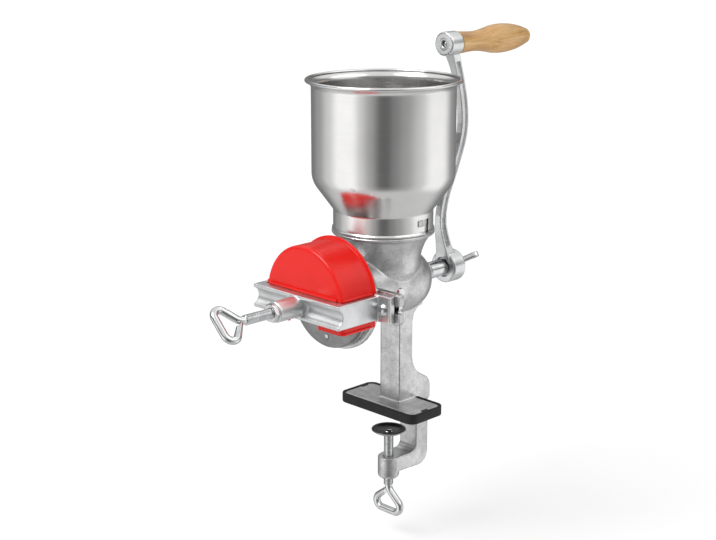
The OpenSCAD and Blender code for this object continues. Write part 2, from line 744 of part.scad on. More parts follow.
module wire_leg(lean, from) rotate([0, 0, lean]) rotate([90, 0, 0]) translate([0, 0, from])
    cylinder(h = leg_l + wire_lap - from, r = wire_r, $fn = 32);

module adjusting_screw() color("lightgray") difference() {
    on_shaft(adjust_apex) rotate([0, 0, loop_turn]) {
        loop_handle();
        translate([0, 0, shank_from]) cylinder(h = screw_tip - adjust_apex - shank_from, r = screw_r);
    }
    translate([0, ball_y, axis_z]) sphere(r = ball_r + run_fit);
}

module thrust_ball() color("lightgray") translate([0, ball_y, axis_z]) sphere(r = ball_r);

module lock_nut() color("lightgray") on_shaft(lock_back - lock_t) difference() {
    intersection() {
        cylinder(h = lock_t, r = (screw_r + 3.2) / cos(30), $fn = 6);
        rotate_extrude() polygon([
            [0, 0], [screw_r + 3, 0], [screw_r + 5, 1.2], [screw_r + 5, lock_t - 1.2],
            [screw_r + 3, lock_t], [0, lock_t]]);
    }
    translate([0, 0, -1]) cylinder(h = lock_t + 2, r = screw_r + run_fit);
}

module clamp_pad() color("dimgray") translate([0, screw_y, 0]) rotate_extrude($fn = 64) polygon([
    [tip_r + run_fit, pad_floor], [pad_r * 0.55, pad_floor], [pad_r - 1.2, pad_top - 1.6],
    [pad_r, pad_top - 0.8], [pad_r, pad_top], [pad_r - 2, pad_top],
    [pad_r * 0.5, pad_floor + pad_t], [tip_r + run_fit, pad_floor + pad_t]]);

module clamp_screw() color("lightgray") translate([0, screw_y, 0]) {
    translate([0, 0, clamp_apex]) loop_handle();
    rotate_extrude() polygon(concat(
        [[0, clamp_apex + shank_from], [screw_r, clamp_apex + shank_from]],
        [[screw_r, pad_floor - face_gap - 0.8]],
        [[screw_r - 0.8, pad_floor - face_gap], [tip_r, pad_floor - face_gap]],
        [[tip_r, pad_floor + pad_t + face_gap], [tip_r + 1.4, pad_floor + pad_t + face_gap]],
        [[tip_r + 0.6, pad_floor + pad_t + face_gap + 1], [0, pad_floor + pad_t + face_gap + 1.4]]));
}

// Crank

// Bow and dip of the arm, its middle and its half sizes at a share s of its length
function bow(s) = s < 0.3 ? 0
    : s < 0.65 ? pow(sin(180 * (s - 0.3) / 0.7), 2)
    : cos(90 * (s - 0.65) / 0.35);
function dip(s) = s < 0.44 ? pow(sin(180 * s / 0.44), 2) : 0;
function arm_mid(s) = arm_y + crank_bow * bow(s) - crank_dip * dip(s);
function arm_half(s) = crank_d / 2 + 2 * pow(max(0, 1 - s / 0.24), 2) + 1.2 * pow(max(0, s - 0.8) / 0.2, 2);
function arm_side(s) = crank_w / 2 + 7 * pow(max(0, 1 - s / 0.26), 2) + 3 * pow(max(0, s - 0.8) / 0.2, 2);

// Outline along the arm between two shares of its length, k times its depth
module arm_outline(a, b, k) polygon(concat(
    [for (i = [0:arm_steps]) let(s = a + (b - a) * i / arm_steps)
        [arm_mid(s) + k * arm_half(s), axis_z + crank_r * s]],
    [for (i = [arm_steps:-1:0]) let(s = a + (b - a) * i / arm_steps)
        [arm_mid(s) - k * arm_half(s), axis_z + crank_r * s]]));

module arm_front() polygon(concat(
    [for (i = [0:10]) let(s = i / 10) [arm_side(s), axis_z + crank_r * s]],
    [for (i = [10:-1:0]) let(s = i / 10) [-arm_side(s), axis_z + crank_r * s]]));

// Place things along the grip's axis, from the front of the crank's boss
module on_boss(y) translate([0, boss_y + y, crank_top]) rotate([-90, 0, 0]) children();

// The bar between hub and boss, faced back where the grip turns
module crank_bar() difference() {
    intersection() {
        across(4 * hub_r) arm_outline(0.02, 1, 1);
        upright(hub_y - 30, hub_l + crank_bow + 60) arm_front();
    }
    for (side = [-1, 1]) translate([side * (crank_w * 0.24 + hub_r), 0, 0])
        across(2 * hub_r) arm_outline(0.1, 0.92, 0.52);
    on_boss(boss_l - 0.5) cylinder(h = crank_bow + crank_d, r = facing_r);
}

module crank_arm() color("silver") difference() {
    union() {
        on_shaft(hub_y) rotate_extrude() polygon([
            [0, 0], [hub_r - 1.5, 0], [hub_r, 1.5], [hub_r, hub_l - 1.5], [hub_r - 1.5, hub_l], [0, hub_l]]);
        crank_bar();
        on_boss(0) rotate_extrude() polygon([
            [0, 0], [boss_r - 1, 0], [boss_r, 1], [boss_r, boss_l - 1], [boss_r - 1, boss_l], [0, boss_l]]);
    }
    on_shaft(hub_y - 1) intersection() {
        cylinder(h = hub_l + 2, r = tail_r + 0.05);
        translate([-2 * tail_r, -flat_h - 0.05, 0]) cube([4 * tail_r, 2 * flat_h + 0.1, hub_l + 2]);
    }
    on_shaft(hub_y - crank_d) cylinder(h = crank_d + hub_recess, r = recess_r);
    on_boss(-1) cylinder(h = boss_l + 2, r = spindle_r, $fn = 32);
    on_boss(-1) cylinder(h = 2.4, r = spindle_r + 2, $fn = 32);
}

module crank_wing_screw() color("lightgray") on_shaft(hub_end) union() {
    rotate([0, 0, wing_screw_turn])
        winged(wing_screw_r + 4, wing_screw_reach, wing_screw_rise, wing_screw_h, wing_screw_t);
    translate([0, 0, 1.5 - hub_l]) cylinder(h = hub_l - 1, r = wing_screw_r, $fn = 32);
}

// Spindle riveted into the boss, with a head sunk in the grip's end
module grip_spindle() color("lightgray") on_boss(0)
    rotate_extrude($fn = 32) polygon([
        [0, 0.4], [spindle_r + 1, 1.4], [spindle_r, 1.4], [spindle_r, head_y - boss_y],
        [head_r, head_y - boss_y], [head_r, head_y - boss_y + 2.5], [head_r - 1.5, head_y - boss_y + 4],
        [0, head_y - boss_y + 4]]);

// Radius of the grip at a share s of its length
function grip_at(s) = grip_r * (0.76 - 0.09 * sin(min(1, s / 0.5) * 180)
    + 0.24 * pow(sin(180 * max(0, s - 0.2) / 0.86), 2));

module grip() color("burlywood") translate([0, grip_y, crank_top]) rotate([-90, 0, 0]) difference() {
    rotate_extrude() polygon(concat(
        [[0, 0], [grip_at(0) - 1, 0]],
        [for (i = [0:16]) let(s = 0.01 + 0.89 * i / 16) [grip_at(s), grip_l * s]],
        [[grip_at(0.9) * 0.86, grip_l * 0.95], [grip_at(0.9) * 0.66, grip_l * 0.985], [head_r + 0.6, grip_l]],
        [[0, grip_l]]));
    translate([0, 0, -1]) cylinder(h = grip_l + 2, r = spindle_r + run_fit, $fn = 32);
    translate([0, 0, grip_l - head_sink - face_gap])
        cylinder(h = head_sink + 3, r = head_r + 0.4, $fn = 32);
}

mill_head();
clamp_stand();
fixed_burr();
fixed_burr_screws();
yoke();
yoke_bolts();
yoke_washers();
wing_nut_left();
wing_nut_right();
guard();
rubber_boot();
hopper();
thrust_ball();
adjusting_screw();
lock_nut();
auger_shaft();
auger_worm();
burr_carrier();
rotary_burr();
rotary_burr_rivets();
drive_pin();
crank_arm();
crank_wing_screw();
grip_spindle();
grip();
clamp_pad();
clamp_screw();
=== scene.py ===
"""Looks of the hand grain mill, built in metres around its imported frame."""
import math

import bmesh
import bpy
from mathutils import Matrix, Vector


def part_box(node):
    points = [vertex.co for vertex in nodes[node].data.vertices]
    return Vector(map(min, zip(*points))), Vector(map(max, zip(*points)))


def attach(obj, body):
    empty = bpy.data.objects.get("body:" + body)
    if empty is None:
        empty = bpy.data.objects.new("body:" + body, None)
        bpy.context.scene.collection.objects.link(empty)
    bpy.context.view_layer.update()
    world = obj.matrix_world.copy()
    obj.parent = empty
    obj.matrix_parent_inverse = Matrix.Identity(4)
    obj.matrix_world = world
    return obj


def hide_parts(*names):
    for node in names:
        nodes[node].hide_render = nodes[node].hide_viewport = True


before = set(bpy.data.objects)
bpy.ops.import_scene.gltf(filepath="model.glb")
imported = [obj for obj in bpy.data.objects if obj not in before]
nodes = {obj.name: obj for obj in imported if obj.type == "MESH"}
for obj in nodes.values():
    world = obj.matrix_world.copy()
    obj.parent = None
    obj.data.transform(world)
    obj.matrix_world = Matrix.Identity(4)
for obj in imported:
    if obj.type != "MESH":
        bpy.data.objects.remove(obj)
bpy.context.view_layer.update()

MM = 0.001
FULL_TURN = 2 * math.pi
# Points closer than this, in metres, are one point
TOUCH = 1e-6

scene = bpy.context.scene
scene.view_settings.view_transform = "Standard"


def mm(*sizes):
    """A point or vector given in millimetres."""
    return Vector(sizes) * MM


def reach(node, axis):
    """Where a node begins and ends along an axis, in millimetres."""
    low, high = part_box(node)
    place = "XYZ".index(axis)
    return low[place] / MM, high[place] / MM


def midway(node, axis):
    """Half way along a node, in millimetres."""
    return sum(reach(node, axis)) / 2


# Camera at the photograph's viewing angle, in metres and degrees

CAMERA_PLACE = (0.93470, -0.96663, 0.50477)
CAMERA_BEARING = -45.96
CAMERA_TILT = 75.07
CAMERA_TURN = 45.08
SENSOR_WIDTH = 36.0
LENS_LENGTH = 71.36

camera_data = bpy.data.cameras.new("camera")
camera_data.sensor_width = SENSOR_WIDTH
camera_data.lens = LENS_LENGTH
camera = bpy.data.objects.new("camera", camera_data)
camera.location = CAMERA_PLACE
camera.rotation_euler = (math.radians(CAMERA_TILT), 0.0, math.radians(CAMERA_TURN))
scene.collection.objects.link(camera)
scene.camera = camera


# Node helpers for the finishes and the surroundings

# Places of the colour sockets on a Mix node
MIX_SHARE = 0
MIX_FIRST = 6
MIX_SECOND = 7
MIX_RESULT = 2


def opaque(colour):
    """A colour with its opacity, from three levels or from one level of grey."""
    return (*colour, 1.0) if hasattr(colour, "__len__") else (colour, colour, colour, 1.0)


class NodeTree:
    """A node tree, with the ways of adding to it that finishes and surroundings share."""

    def __init__(self, tree):
        self.tree = tree

    def add(self, kind, **values):
        """Adds a node, and sets values of its own or of its inputs."""
        node = self.tree.nodes.new(kind)
        for key, value in values.items():
            if hasattr(node, key):
                setattr(node, key, value)
            else:
                node.inputs[key.replace("_", " ")].default_value = value
        return node

    def feed(self, source, target):
        """Links an output to an input, or sets the input to a plain value."""
        if isinstance(source, bpy.types.NodeSocket):
            self.tree.links.new(source, target)
        else:
            target.default_value = source

    def ramp(self, source, stops, passage="LINEAR"):
        """A ramp of colours or greys, from rows of place and colour."""
        ramp = self.add("ShaderNodeValToRGB")
        self.feed(source, ramp.inputs["Fac"])
        ramp.color_ramp.interpolation = passage
        elements = ramp.color_ramp.elements
        while len(elements) < len(stops):
            elements.new(0.5)
        for element, (place, colour) in zip(elements, stops):
            element.position = place
            element.color = opaque(colour)
        return ramp.outputs["Color"]

    def mix(self, first, second, share, blend="MIX"):
        """Two colours mixed by a share."""
        mix = self.add("ShaderNodeMix", data_type="RGBA", blend_type=blend)
        self.feed(first, mix.inputs[MIX_FIRST])
        self.feed(second, mix.inputs[MIX_SECOND])
        self.feed(share, mix.inputs[MIX_SHARE])
        return mix.outputs[MIX_RESULT]

    def maths(self, operation, *values):
        """The result of a sum on outputs and plain numbers."""
        node = self.add("ShaderNodeMath", operation=operation)
        for socket, value in zip(node.inputs, values):
            self.feed(value, socket)
        return node.outputs["Value"]

    def choose(self, share, first, second):
        """One shader where the share is nought, and another where it is one."""
        node = self.add("ShaderNodeMixShader")
        self.feed(share, node.inputs[0])
        self.feed(first, node.inputs[1])
        self.feed(second, node.inputs[2])
        return node.outputs["Shader"]


class Finish(NodeTree):
    """A material with its shader at hand."""

    def __init__(self, name):
        self.material = bpy.data.materials.new(name)
        self.material.use_nodes = True
        super().__init__(self.material.node_tree)
        self.shader = self.tree.nodes["Principled BSDF"]
        self.coords = self.add("ShaderNodeTexCoord")

    def set(self, **values):
        for key, value in values.items():
            self.shader.inputs[key.replace("_", " ")].default_value = value

    def noise(self, scale, detail=3.0, rough=0.5, stretch=(1, 1, 1), twist=0.0):
        """Noise on the piece's own coordinates."""
        mapping = self.add("ShaderNodeMapping", Scale=stretch)
        self.feed(self.coords.outputs["Object"], mapping.inputs["Vector"])
        noise = self.add("ShaderNodeTexNoise", Scale=scale, Detail=detail, Roughness=rough, Distortion=twist)
        self.feed(mapping.outputs["Vector"], noise.inputs["Vector"])
        return noise.outputs["Fac"]

    def bump(self, heights):
        """Chains bumps from rows of height socket, strength and depth into the shader."""
        normal = None
        for height, strength, depth in heights:
            bump = self.add("ShaderNodeBump", Strength=strength, Distance=depth)
            self.feed(height, bump.inputs["Height"])
            if normal is not None:
                self.feed(normal, bump.inputs["Normal"])
            normal = bump.outputs["Normal"]
        self.feed(normal, self.shader.inputs["Normal"])

    def colour(self, source):
        self.feed(source, self.shader.inputs["Base Color"])

    def roughness(self, source):
        self.feed(source, self.shader.inputs["Roughness"])


# Finishes, with noise scales per metre and bump depths in metres

def cast_finish(name, dull, bright):
    """A casting with sand grain and soft patches between a dull and a bright tone."""
    look = Finish(name)
    patch = look.noise(38.0, detail=4.0)
    grain = look.noise(950.0, detail=4.0, rough=0.6)
    pits = look.noise(260.0, detail=3.0, rough=0.65)
    stains = look.noise(120.0, detail=4.0, rough=0.6)
    tone = look.ramp(patch, [(0.3, dull), (0.7, bright)])
    specks = look.ramp(grain, [(0.35, 0.76), (0.6, 1.0)])
    shade = look.ramp(stains, [(0.32, 0.80), (0.58, 1.0)])
    look.colour(look.mix(look.mix(tone, specks, 1.0, "MULTIPLY"), shade, 1.0, "MULTIPLY"))
    look.roughness(look.ramp(pits, [(0.3, 0.29), (0.75, 0.44)]))
    look.set(Metallic=1.0)
    look.bump([(pits, 0.42, 0.0005), (grain, 0.16, 0.00015)])
    return look.material


def smooth_cast_finish(name, shine, matt):
    """A filed and tumbled casting, smoother than the body, with its roughness from shine to matt."""
    look = Finish(name)
    patch = look.noise(60.0, detail=4.0)
    grain = look.noise(700.0, detail=3.0, rough=0.6)
    look.colour(look.ramp(patch, [(0.3, (0.57, 0.575, 0.58)), (0.7, (0.70, 0.705, 0.71))]))
    look.roughness(look.ramp(grain, [(0.3, shine), (0.75, matt)]))
    look.set(Metallic=1.0)
    look.bump([(patch, 0.20, 0.0006), (grain, 0.07, 0.0001)])
    return look.material


def plated_finish():
    """Bright zinc plate on the screws, nuts and shaft."""
    look = Finish("zinc_plate")
    cloud = look.noise(150.0, detail=3.0)
    fine = look.noise(1800.0, detail=2.0)
    look.colour(look.ramp(cloud, [(0.3, (0.56, 0.565, 0.57)), (0.7, (0.68, 0.685, 0.69))]))
    look.roughness(look.ramp(fine, [(0.3, 0.15), (0.7, 0.22)]))
    look.set(Metallic=1.0)
    look.bump([(cloud, 0.10, 0.0003), (fine, 0.03, 0.00005)])
    return look.material


def hopper_finish():
    """Spun stainless sheet with fine rings from the lathe."""
    look = Finish("spun_stainless")
    rings = look.noise(1.0, detail=3.0, rough=0.7, stretch=(6.0, 6.0, 2600.0))
    cloud = look.noise(22.0, detail=3.0)
    look.colour(look.ramp(cloud, [(0.3, (0.67, 0.665, 0.66)), (0.7, (0.74, 0.735, 0.73))]))
    look.roughness(look.ramp(rings, [(0.3, 0.17), (0.7, 0.27)]))
    tangent = look.add("ShaderNodeTangent", direction_type="RADIAL", axis="Z")
    look.feed(tangent.outputs["Tangent"], look.shader.inputs["Tangent"])
    look.set(Metallic=1.0, Anisotropic=0.6, Anisotropic_Rotation=0.25)
    look.bump([(rings, 0.05, 0.0001)])
    return look.material


def guard_finish():
    """Glossy red moulded plastic."""
    look = Finish("red_plastic")
    cloud = look.noise(24.0, detail=2.0)
    skin = look.noise(700.0, detail=2.0)
    look.colour(look.ramp(cloud, [(0.35, (0.74, 0.010, 0.006)), (0.65, (0.82, 0.014, 0.009))]))
    look.roughness(look.ramp(cloud, [(0.3, 0.20), (0.7, 0.27)]))
    look.set(Specular_IOR_Level=0.3)
    look.bump([(skin, 0.03, 0.00005)])
    return look.material


def rubber_finish():
    """Matt black rubber with a fine moulded skin."""
    look = Finish("black_rubber")
    skin = look.noise(900.0, detail=3.0, rough=0.6)
    cloud = look.noise(70.0, detail=3.0)
    look.colour(look.ramp(cloud, [(0.3, (0.010, 0.010, 0.011)), (0.7, (0.017, 0.017, 0.018))]))
    look.roughness(look.ramp(skin, [(0.3, 0.46), (0.7, 0.62)]))
    look.set(Specular_IOR_Level=0.25)
    look.bump([(skin, 0.25, 0.0002)])
    return look.material


def pad_finish(name, dull, bright):
    """Pressed steel of the clamp pad, between a dull and a bright tone."""
    look = Finish(name)
    cloud = look.noise(140.0, detail=4.0)
    look.colour(look.ramp(cloud, [(0.3, dull), (0.7, bright)]))
    look.roughness(look.ramp(cloud, [(0.3, 0.32), (0.7, 0.48)]))
    look.set(Metallic=0.9)
    look.bump([(cloud, 0.2, 0.0004)])
    return look.material


def burr_finish():
    """Bare ground iron of the burrs and the worm."""
    look = Finish("burr_iron")
    cloud = look.noise(110.0, detail=4.0)
    grain = look.noise(1100.0, detail=3.0)
    look.colour(look.ramp(cloud, [(0.3, (0.34, 0.335, 0.33)), (0.7, (0.48, 0.475, 0.47))]))
    look.roughness(look.ramp(grain, [(0.3, 0.34), (0.7, 0.50)]))
    look.set(Metallic=1.0)
    look.bump([(grain, 0.25, 0.0002)])
    return look.material


def wood_finish():
    """Pale turned hardwood with long grain, pores and clear lacquer."""
    look = Finish("turned_wood")
    bands = look.noise(1.0, detail=3.0, rough=0.55, stretch=(95.0, 7.0, 95.0), twist=0.6)
    streaks = look.noise(1.0, detail=4.0, rough=0.65, stretch=(420.0, 14.0, 420.0))
    pores = look.noise(1.0, detail=2.0, stretch=(1500.0, 60.0, 1500.0))
    tone = look.ramp(bands, [
        (0.28, (0.46, 0.215, 0.050)), (0.45, (0.65, 0.370, 0.115)), (0.75, (0.80, 0.530, 0.225))])
    line = look.ramp(streaks, [(0.3, (0.74, 0.64, 0.52)), (0.6, 1.0)])
    dots = look.ramp(pores, [(0.28, (0.62, 0.52, 0.42)), (0.40, 1.0)])
    look.colour(look.mix(look.mix(tone, line, 1.0, "MULTIPLY"), dots, 0.7, "MULTIPLY"))
    look.roughness(look.ramp(streaks, [(0.3, 0.30), (0.7, 0.42)]))
    look.set(IOR=1.48, Coat_Weight=0.45, Coat_Roughness=0.16)
    look.bump([(streaks, 0.15, 0.0003), (pores, 0.15, 0.0002)])
    return look.material


CAST = cast_finish("tinned_casting", 0.52, 0.72)
DULL_CAST = cast_finish("turned_casting", 0.24, 0.34)
TUMBLED = smooth_cast_finish("tumbled_casting", 0.36, 0.45)
BUFFED = smooth_cast_finish("buffed_casting", 0.25, 0.33)
PLATED = plated_finish()
SPUN = hopper_finish()
RED = guard_finish()
RUBBER = rubber_finish()
# The pad's finish in two copies: the darker copy on faces that look up is painted shade, and the lighter
# copy on its sides and underside is painted light.
DARK_STEEL_SHADED_TOP = pad_finish("dark_steel_shaded_top", 0.13, 0.20)
SIDE_LIT_STEEL = pad_finish("side_lit_steel", 0.40, 0.52)
BURR = burr_finish()
WOOD = wood_finish()


# Helpers for pieces

def place_piece(name, mesh, body, finish, slot, *stands_for):
    """Puts a finished mesh in the scene on its body and in place of its nodes."""
    piece = bpy.data.objects.new(name, mesh)
    scene.collection.objects.link(piece)
    mesh.materials.clear()
    mesh.materials.append(finish)
    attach(piece, body)
    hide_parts(*stands_for)
    return piece


def mesh_from(bm, name, crease=35.0):
    """Closes a bmesh into a mesh that shades smooth apart from its sharp edges."""
    bmesh.ops.remove_doubles(bm, verts=bm.verts, dist=TOUCH)
    bmesh.ops.recalc_face_normals(bm, faces=bm.faces)
    for face in bm.faces:
        face.smooth = True
    for edge in bm.edges:
        edge.smooth = len(edge.link_faces) == 2 and edge.calc_face_angle(0.0) < math.radians(crease)
    mesh = bpy.data.meshes.new(name)
    bm.to_mesh(mesh)
    bm.free()
    return mesh


def reshaped(mesh, set_up):
    """A copy of a mesh after the modifiers that set_up gives its holder."""
    holder = bpy.data.objects.new(mesh.name + "_holder", mesh)
    scene.collection.objects.link(holder)
    set_up(holder.modifiers)
    bpy.context.view_layer.update()
    made = bpy.data.meshes.new_from_object(holder.evaluated_get(bpy.context.evaluated_depsgraph_get()))
    bpy.data.objects.remove(holder)
    bpy.data.meshes.remove(mesh)
    return made


def softened(voxel, rounds, keep, *names, added=None):
    """A joined copy of nodes' meshes and an added shape, with edges rounded as cast or moulded ones are."""
    bm = added or bmesh.new()
    for name in names:
        bm.from_mesh(nodes[name].data)
    mesh = mesh_from(bm, names[0] + "_soft")

    def set_up(modifiers):
        remesh = modifiers.new("voxels", "REMESH")
        remesh.mode = "VOXEL"
        remesh.voxel_size = voxel * MM
        remesh.use_smooth_shade = True
        smooth = modifiers.new("smooth", "SMOOTH")
        smooth.factor = 0.5
        smooth.iterations = rounds
        if keep < 1.0:
            thin = modifiers.new("thin", "DECIMATE")
            thin.ratio = keep

    return reshaped(mesh, set_up)


def cut(mesh, cutter):
    """A mesh with the shape of a cutter taken out of it."""
    tool = bpy.data.objects.new("cutter", mesh_from(cutter, "cutter"))
    scene.collection.objects.link(tool)

    def set_up(modifiers):
        boolean = modifiers.new("cut", "BOOLEAN")
        boolean.operation = "DIFFERENCE"
        boolean.solver = "EXACT"
        boolean.object = tool

    made = reshaped(mesh, set_up)
    bpy.data.meshes.remove(tool.data)
    return made


def arc(centre, radius, start, end, steps):
    """Points of an arc in an outline, from one angle to another in degrees."""
    turns = [math.radians(start + (end - start) * step / steps) for step in range(steps + 1)]
    return [(centre[0] + radius * math.cos(turn), centre[1] + radius * math.sin(turn)) for turn in turns]


def drawn(bm, outline, closed=False):
    """Draws an outline of (radius, height) points in millimetres, upright on the X axis."""
    corners = [bm.verts.new((radius * MM, 0.0, height * MM)) for radius, height in outline]
    lines = [bm.edges.new(pair) for pair in zip(corners, corners[1:])]
    if closed:
        lines.append(bm.edges.new((corners[-1], corners[0])))
    return corners + lines


def filled(bm, outline):
    """Draws a closed outline and the face inside it."""
    line = drawn(bm, outline, closed=True)
    return line + bmesh.ops.contextual_create(bm, geom=line)["faces"]


def only(kind, parts):
    """The parts of a bmesh that are of one kind."""
    return [part for part in parts if isinstance(part, kind)]


def turned(outline, steps=96, closed=False):
    """A shape turned about Z from an outline."""
    bm = bmesh.new()
    bmesh.ops.spin(
        bm, geom=drawn(bm, outline, closed), cent=(0, 0, 0), axis=(0, 0, 1), angle=FULL_TURN, steps=steps,
        use_merge=True)
    bmesh.ops.remove_doubles(bm, verts=bm.verts, dist=TOUCH)
    return bm


def moved(bm, x=0.0, y=0.0, z=0.0, along="Z", turn=0.0):
    """Turns a shape about Z, lays it along an axis and moves it, in millimetres and degrees."""
    laid = Matrix.Rotation(math.radians(-90.0), 4, "X") if along == "Y" else Matrix.Identity(4)
    spun = Matrix.Rotation(math.radians(turn), 4, "Z")
    bmesh.ops.transform(bm, matrix=Matrix.Translation(mm(x, y, z)) @ laid @ spun, verts=bm.verts)
    return bm


def trimmed(bm, place, facing):
    """Cuts off what lies beyond a plane on its facing side, and closes the cut."""
    place = Vector(place)
    facing = Vector(facing)
    everything = bm.verts[:] + bm.edges[:] + bm.faces[:]
    bmesh.ops.bisect_plane(bm, geom=everything, plane_co=place, plane_no=facing, clear_outer=True)
    rim = [edge for edge in bm.edges if edge.is_boundary]
    rim = [edge for edge in rim if all(abs((v.co - place).dot(facing)) < TOUCH for v in edge.verts)]
    bmesh.ops.holes_fill(bm, edges=rim, sides=0)
    return bm


def joined(*shapes):
    """Several shapes in one."""
    whole = bmesh.new()
    for shape in shapes:
        mesh = bpy.data.meshes.new("shape")
        shape.to_mesh(mesh)
        shape.free()
        whole.from_mesh(mesh)
        bpy.data.meshes.remove(mesh)
    return whole


def opened(mesh):
    """A mesh as a bmesh, for more work."""
    bm = bmesh.new()
    bm.from_mesh(mesh)
    bpy.data.meshes.remove(mesh)
    return bm


def block(low, high, ease=0.0):
    """A box between two corners in millimetres, with eased edges."""
    bm = bmesh.new()
    bmesh.ops.create_cube(bm, size=1.0)
    bmesh.ops.scale(bm, vec=mm(*high) - mm(*low), verts=bm.verts)
    bmesh.ops.translate(bm, vec=(mm(*high) + mm(*low)) / 2, verts=bm.verts)
    if ease:
        bmesh.ops.bevel(
            bm, geom=bm.edges[:], offset=ease * MM, segments=3, profile=0.5, affect="EDGES", material=-1)
    return bm


THREAD_STEPS = 28
THREAD_DEPTH = 0.55


def thread(radius, length, pitch):
    """A screw thread up Z from zero, cut flat and closed at both ends."""
    root = radius - THREAD_DEPTH * pitch
    tooth = [(root, 0.0), (root, 0.14), (radius, 0.44), (radius, 0.58), (root, 0.88), (root, 1.0)]
    turns = math.ceil(length / pitch) + 2
    bm = bmesh.new()
    line = drawn(bm, [(r, (share - 1.0) * pitch) for r, share in tooth])
    bmesh.ops.spin(
        bm, geom=line, cent=(0, 0, 0), axis=(0, 0, 1), dvec=(0, 0, pitch * MM / THREAD_STEPS),
        angle=FULL_TURN * turns, steps=THREAD_STEPS * turns, use_merge=False)
    bmesh.ops.remove_doubles(bm, verts=bm.verts, dist=TOUCH)
    trimmed(bm, (0, 0, 0), (0, 0, -1))
    return trimmed(bm, (0, 0, length * MM), (0, 0, 1))


# Sizes that several pieces share, in millimetres

SHAFT_R = 8.5
SHAFT_Z = midway("auger_shaft", "Z")
SCREW_R = 4.9
SCREW_Y = midway("clamp_pad", "Y")
SCREW_PITCH = 1.5
PAD_BORE = 3.0
SPINDLE_R = 4.0
HEAD_R = 6.5


# Castings and mouldings, rounded from their solids

# Piece, body, finish, slot, voxel in millimetres, rounds of smoothing, share of faces kept, nodes
SOFT_PIECES = [
    ("body_casting", "frame", CAST, "cast_body", 0.9, 5, 0.55, "mill_head", "clamp_stand"),
    ("yoke_casting", "frame", TUMBLED, "cast_body", 0.6, 7, 1.0, "yoke"),
    ("carrier_casting", "rotor", DULL_CAST, "cast_body", 0.7, 6, 1.0, "burr_carrier"),
    ("table_boot", "frame", RUBBER, "boot_rubber", 0.6, 6, 1.0, "rubber_boot"),
    ("left_wing_nut", "nut_left", PLATED, "plated_steel", 0.3, 6, 1.0, "wing_nut_left"),
    ("right_wing_nut", "nut_right", PLATED, "plated_steel", 0.3, 6, 1.0, "wing_nut_right"),
    ("screw_lock_nut", "adjuster_nut", PLATED, "plated_steel", 0.2, 4, 1.0, "lock_nut"),
    ("hub_wing_screw", "crank_screw", PLATED, "plated_steel", 0.45, 70, 1.0, "crank_wing_screw"),
]


def soft_pieces():
    """The pieces that are their nodes with rounded edges."""
    for name, body, finish, slot, voxel, rounds, keep, *made_from in SOFT_PIECES:
        place_piece(name, softened(voxel, rounds, keep, *made_from), body, finish, slot, *made_from)


# Hopper, spun from sheet

FOOT_Z, RIM_Z = reach("hopper", "Z")
RIM_R = reach("hopper", "X")[1]
SHEET = 0.8
FLARE = 6.0
FLARE_STEPS = 12
WALL_R = RIM_R - FLARE
SHOULDER_R = 25.0
CONE_LEAN = 35.4
CONE_FOOT = 0.5
NECK_R = 48.7
NECK_TOP = FOOT_Z + 20.1
NECK_CURVE = 4.0
NECK_CURVE_Z = NECK_TOP - 1.4
BEAD_R = 1.7
FOOT_BEAD = 1.2
FOOT_CURVE = 1.4
FOOT_CURVE_Z = FOOT_Z + 3.6

# Bayonet slots: start and sweep of the run and of the leg in degrees, and their heights
SLOT_RUN = (-4.1, 20.8)
SLOT_LEG = (7.9, 8.2)
SLOT_PLAY = 0.4
SLOT_LAP = 1.0
SLOT_REACH = (NECK_R - 3.0, NECK_R + 5.0)
LUG_LOW = FOOT_Z + 9.1
LUG_H = 5.5


def hopper_outline():
    """The sheet's outline: foot bead, neck, cone, shoulder, wall, flare and rolled rim, then back inside."""
    lean = math.radians(CONE_LEAN)
    meet = WALL_R - SHOULDER_R * (1.0 - math.cos(lean))
    cone_h = (meet - NECK_R - CONE_FOOT) / math.tan(lean)
    shoulder = (WALL_R - SHOULDER_R, NECK_TOP + cone_h + SHOULDER_R * math.sin(lean))
    neck = (NECK_R + NECK_CURVE, NECK_CURVE_Z)
    rim = (RIM_R - BEAD_R, RIM_Z - BEAD_R)
    flare_z = RIM_Z - 2.0 * FLARE + BEAD_R

    def flare(inset, angle):
        turn = math.radians(angle)
        start = WALL_R - inset
        out = rim[0] + BEAD_R * math.cos(turn) - start
        up = rim[1] + BEAD_R * math.sin(turn) - flare_z
        shares = [step / FLARE_STEPS for step in range(FLARE_STEPS + 1)]
        return [(start + out * share ** 3, flare_z + up * share) for share in shares]

    outside = arc((NECK_R, FOOT_Z + FOOT_BEAD), FOOT_BEAD, -90, 60, 8)
    outside += arc((NECK_R + FOOT_CURVE, FOOT_CURVE_Z), FOOT_CURVE, 230, 180, 4)
    outside += arc(neck, NECK_CURVE, 180, 180 - CONE_LEAN, 6)
    outside += arc(shoulder, SHOULDER_R, -CONE_LEAN, 0, 20)
    outside += flare(0.0, -110)
    outside += arc(rim, BEAD_R, -85, 190, 18)
    inside = flare(SHEET, 215)[::-1]
    inside += arc(shoulder, SHOULDER_R - SHEET, 0, -CONE_LEAN, 16)
    inside += arc(neck, NECK_CURVE + SHEET, 180 - CONE_LEAN, 180, 6)
    return outside + inside + [(NECK_R - SHEET, FOOT_Z)]


def slot_cutters(turn):
    """One bayonet slot: a run round the neck and a leg down to the neck's edge."""
    run = (*SLOT_RUN, LUG_LOW - SLOT_PLAY, LUG_LOW + LUG_H + SLOT_PLAY)
    leg = (*SLOT_LEG, FOOT_Z - SLOT_LAP, LUG_LOW + SLOT_LAP)
    within, beyond = SLOT_REACH
    cutters = []
    for start, sweep, low, high in (run, leg):
        bm = bmesh.new()
        section = filled(bm, [(within, low), (beyond, low), (beyond, high), (within, high)])
        bmesh.ops.spin(
            bm, geom=section, cent=(0, 0, 0), axis=(0, 0, 1), angle=math.radians(sweep), steps=8,
            use_merge=False)
        cutters.append(moved(bm, turn=turn + start))
    return cutters


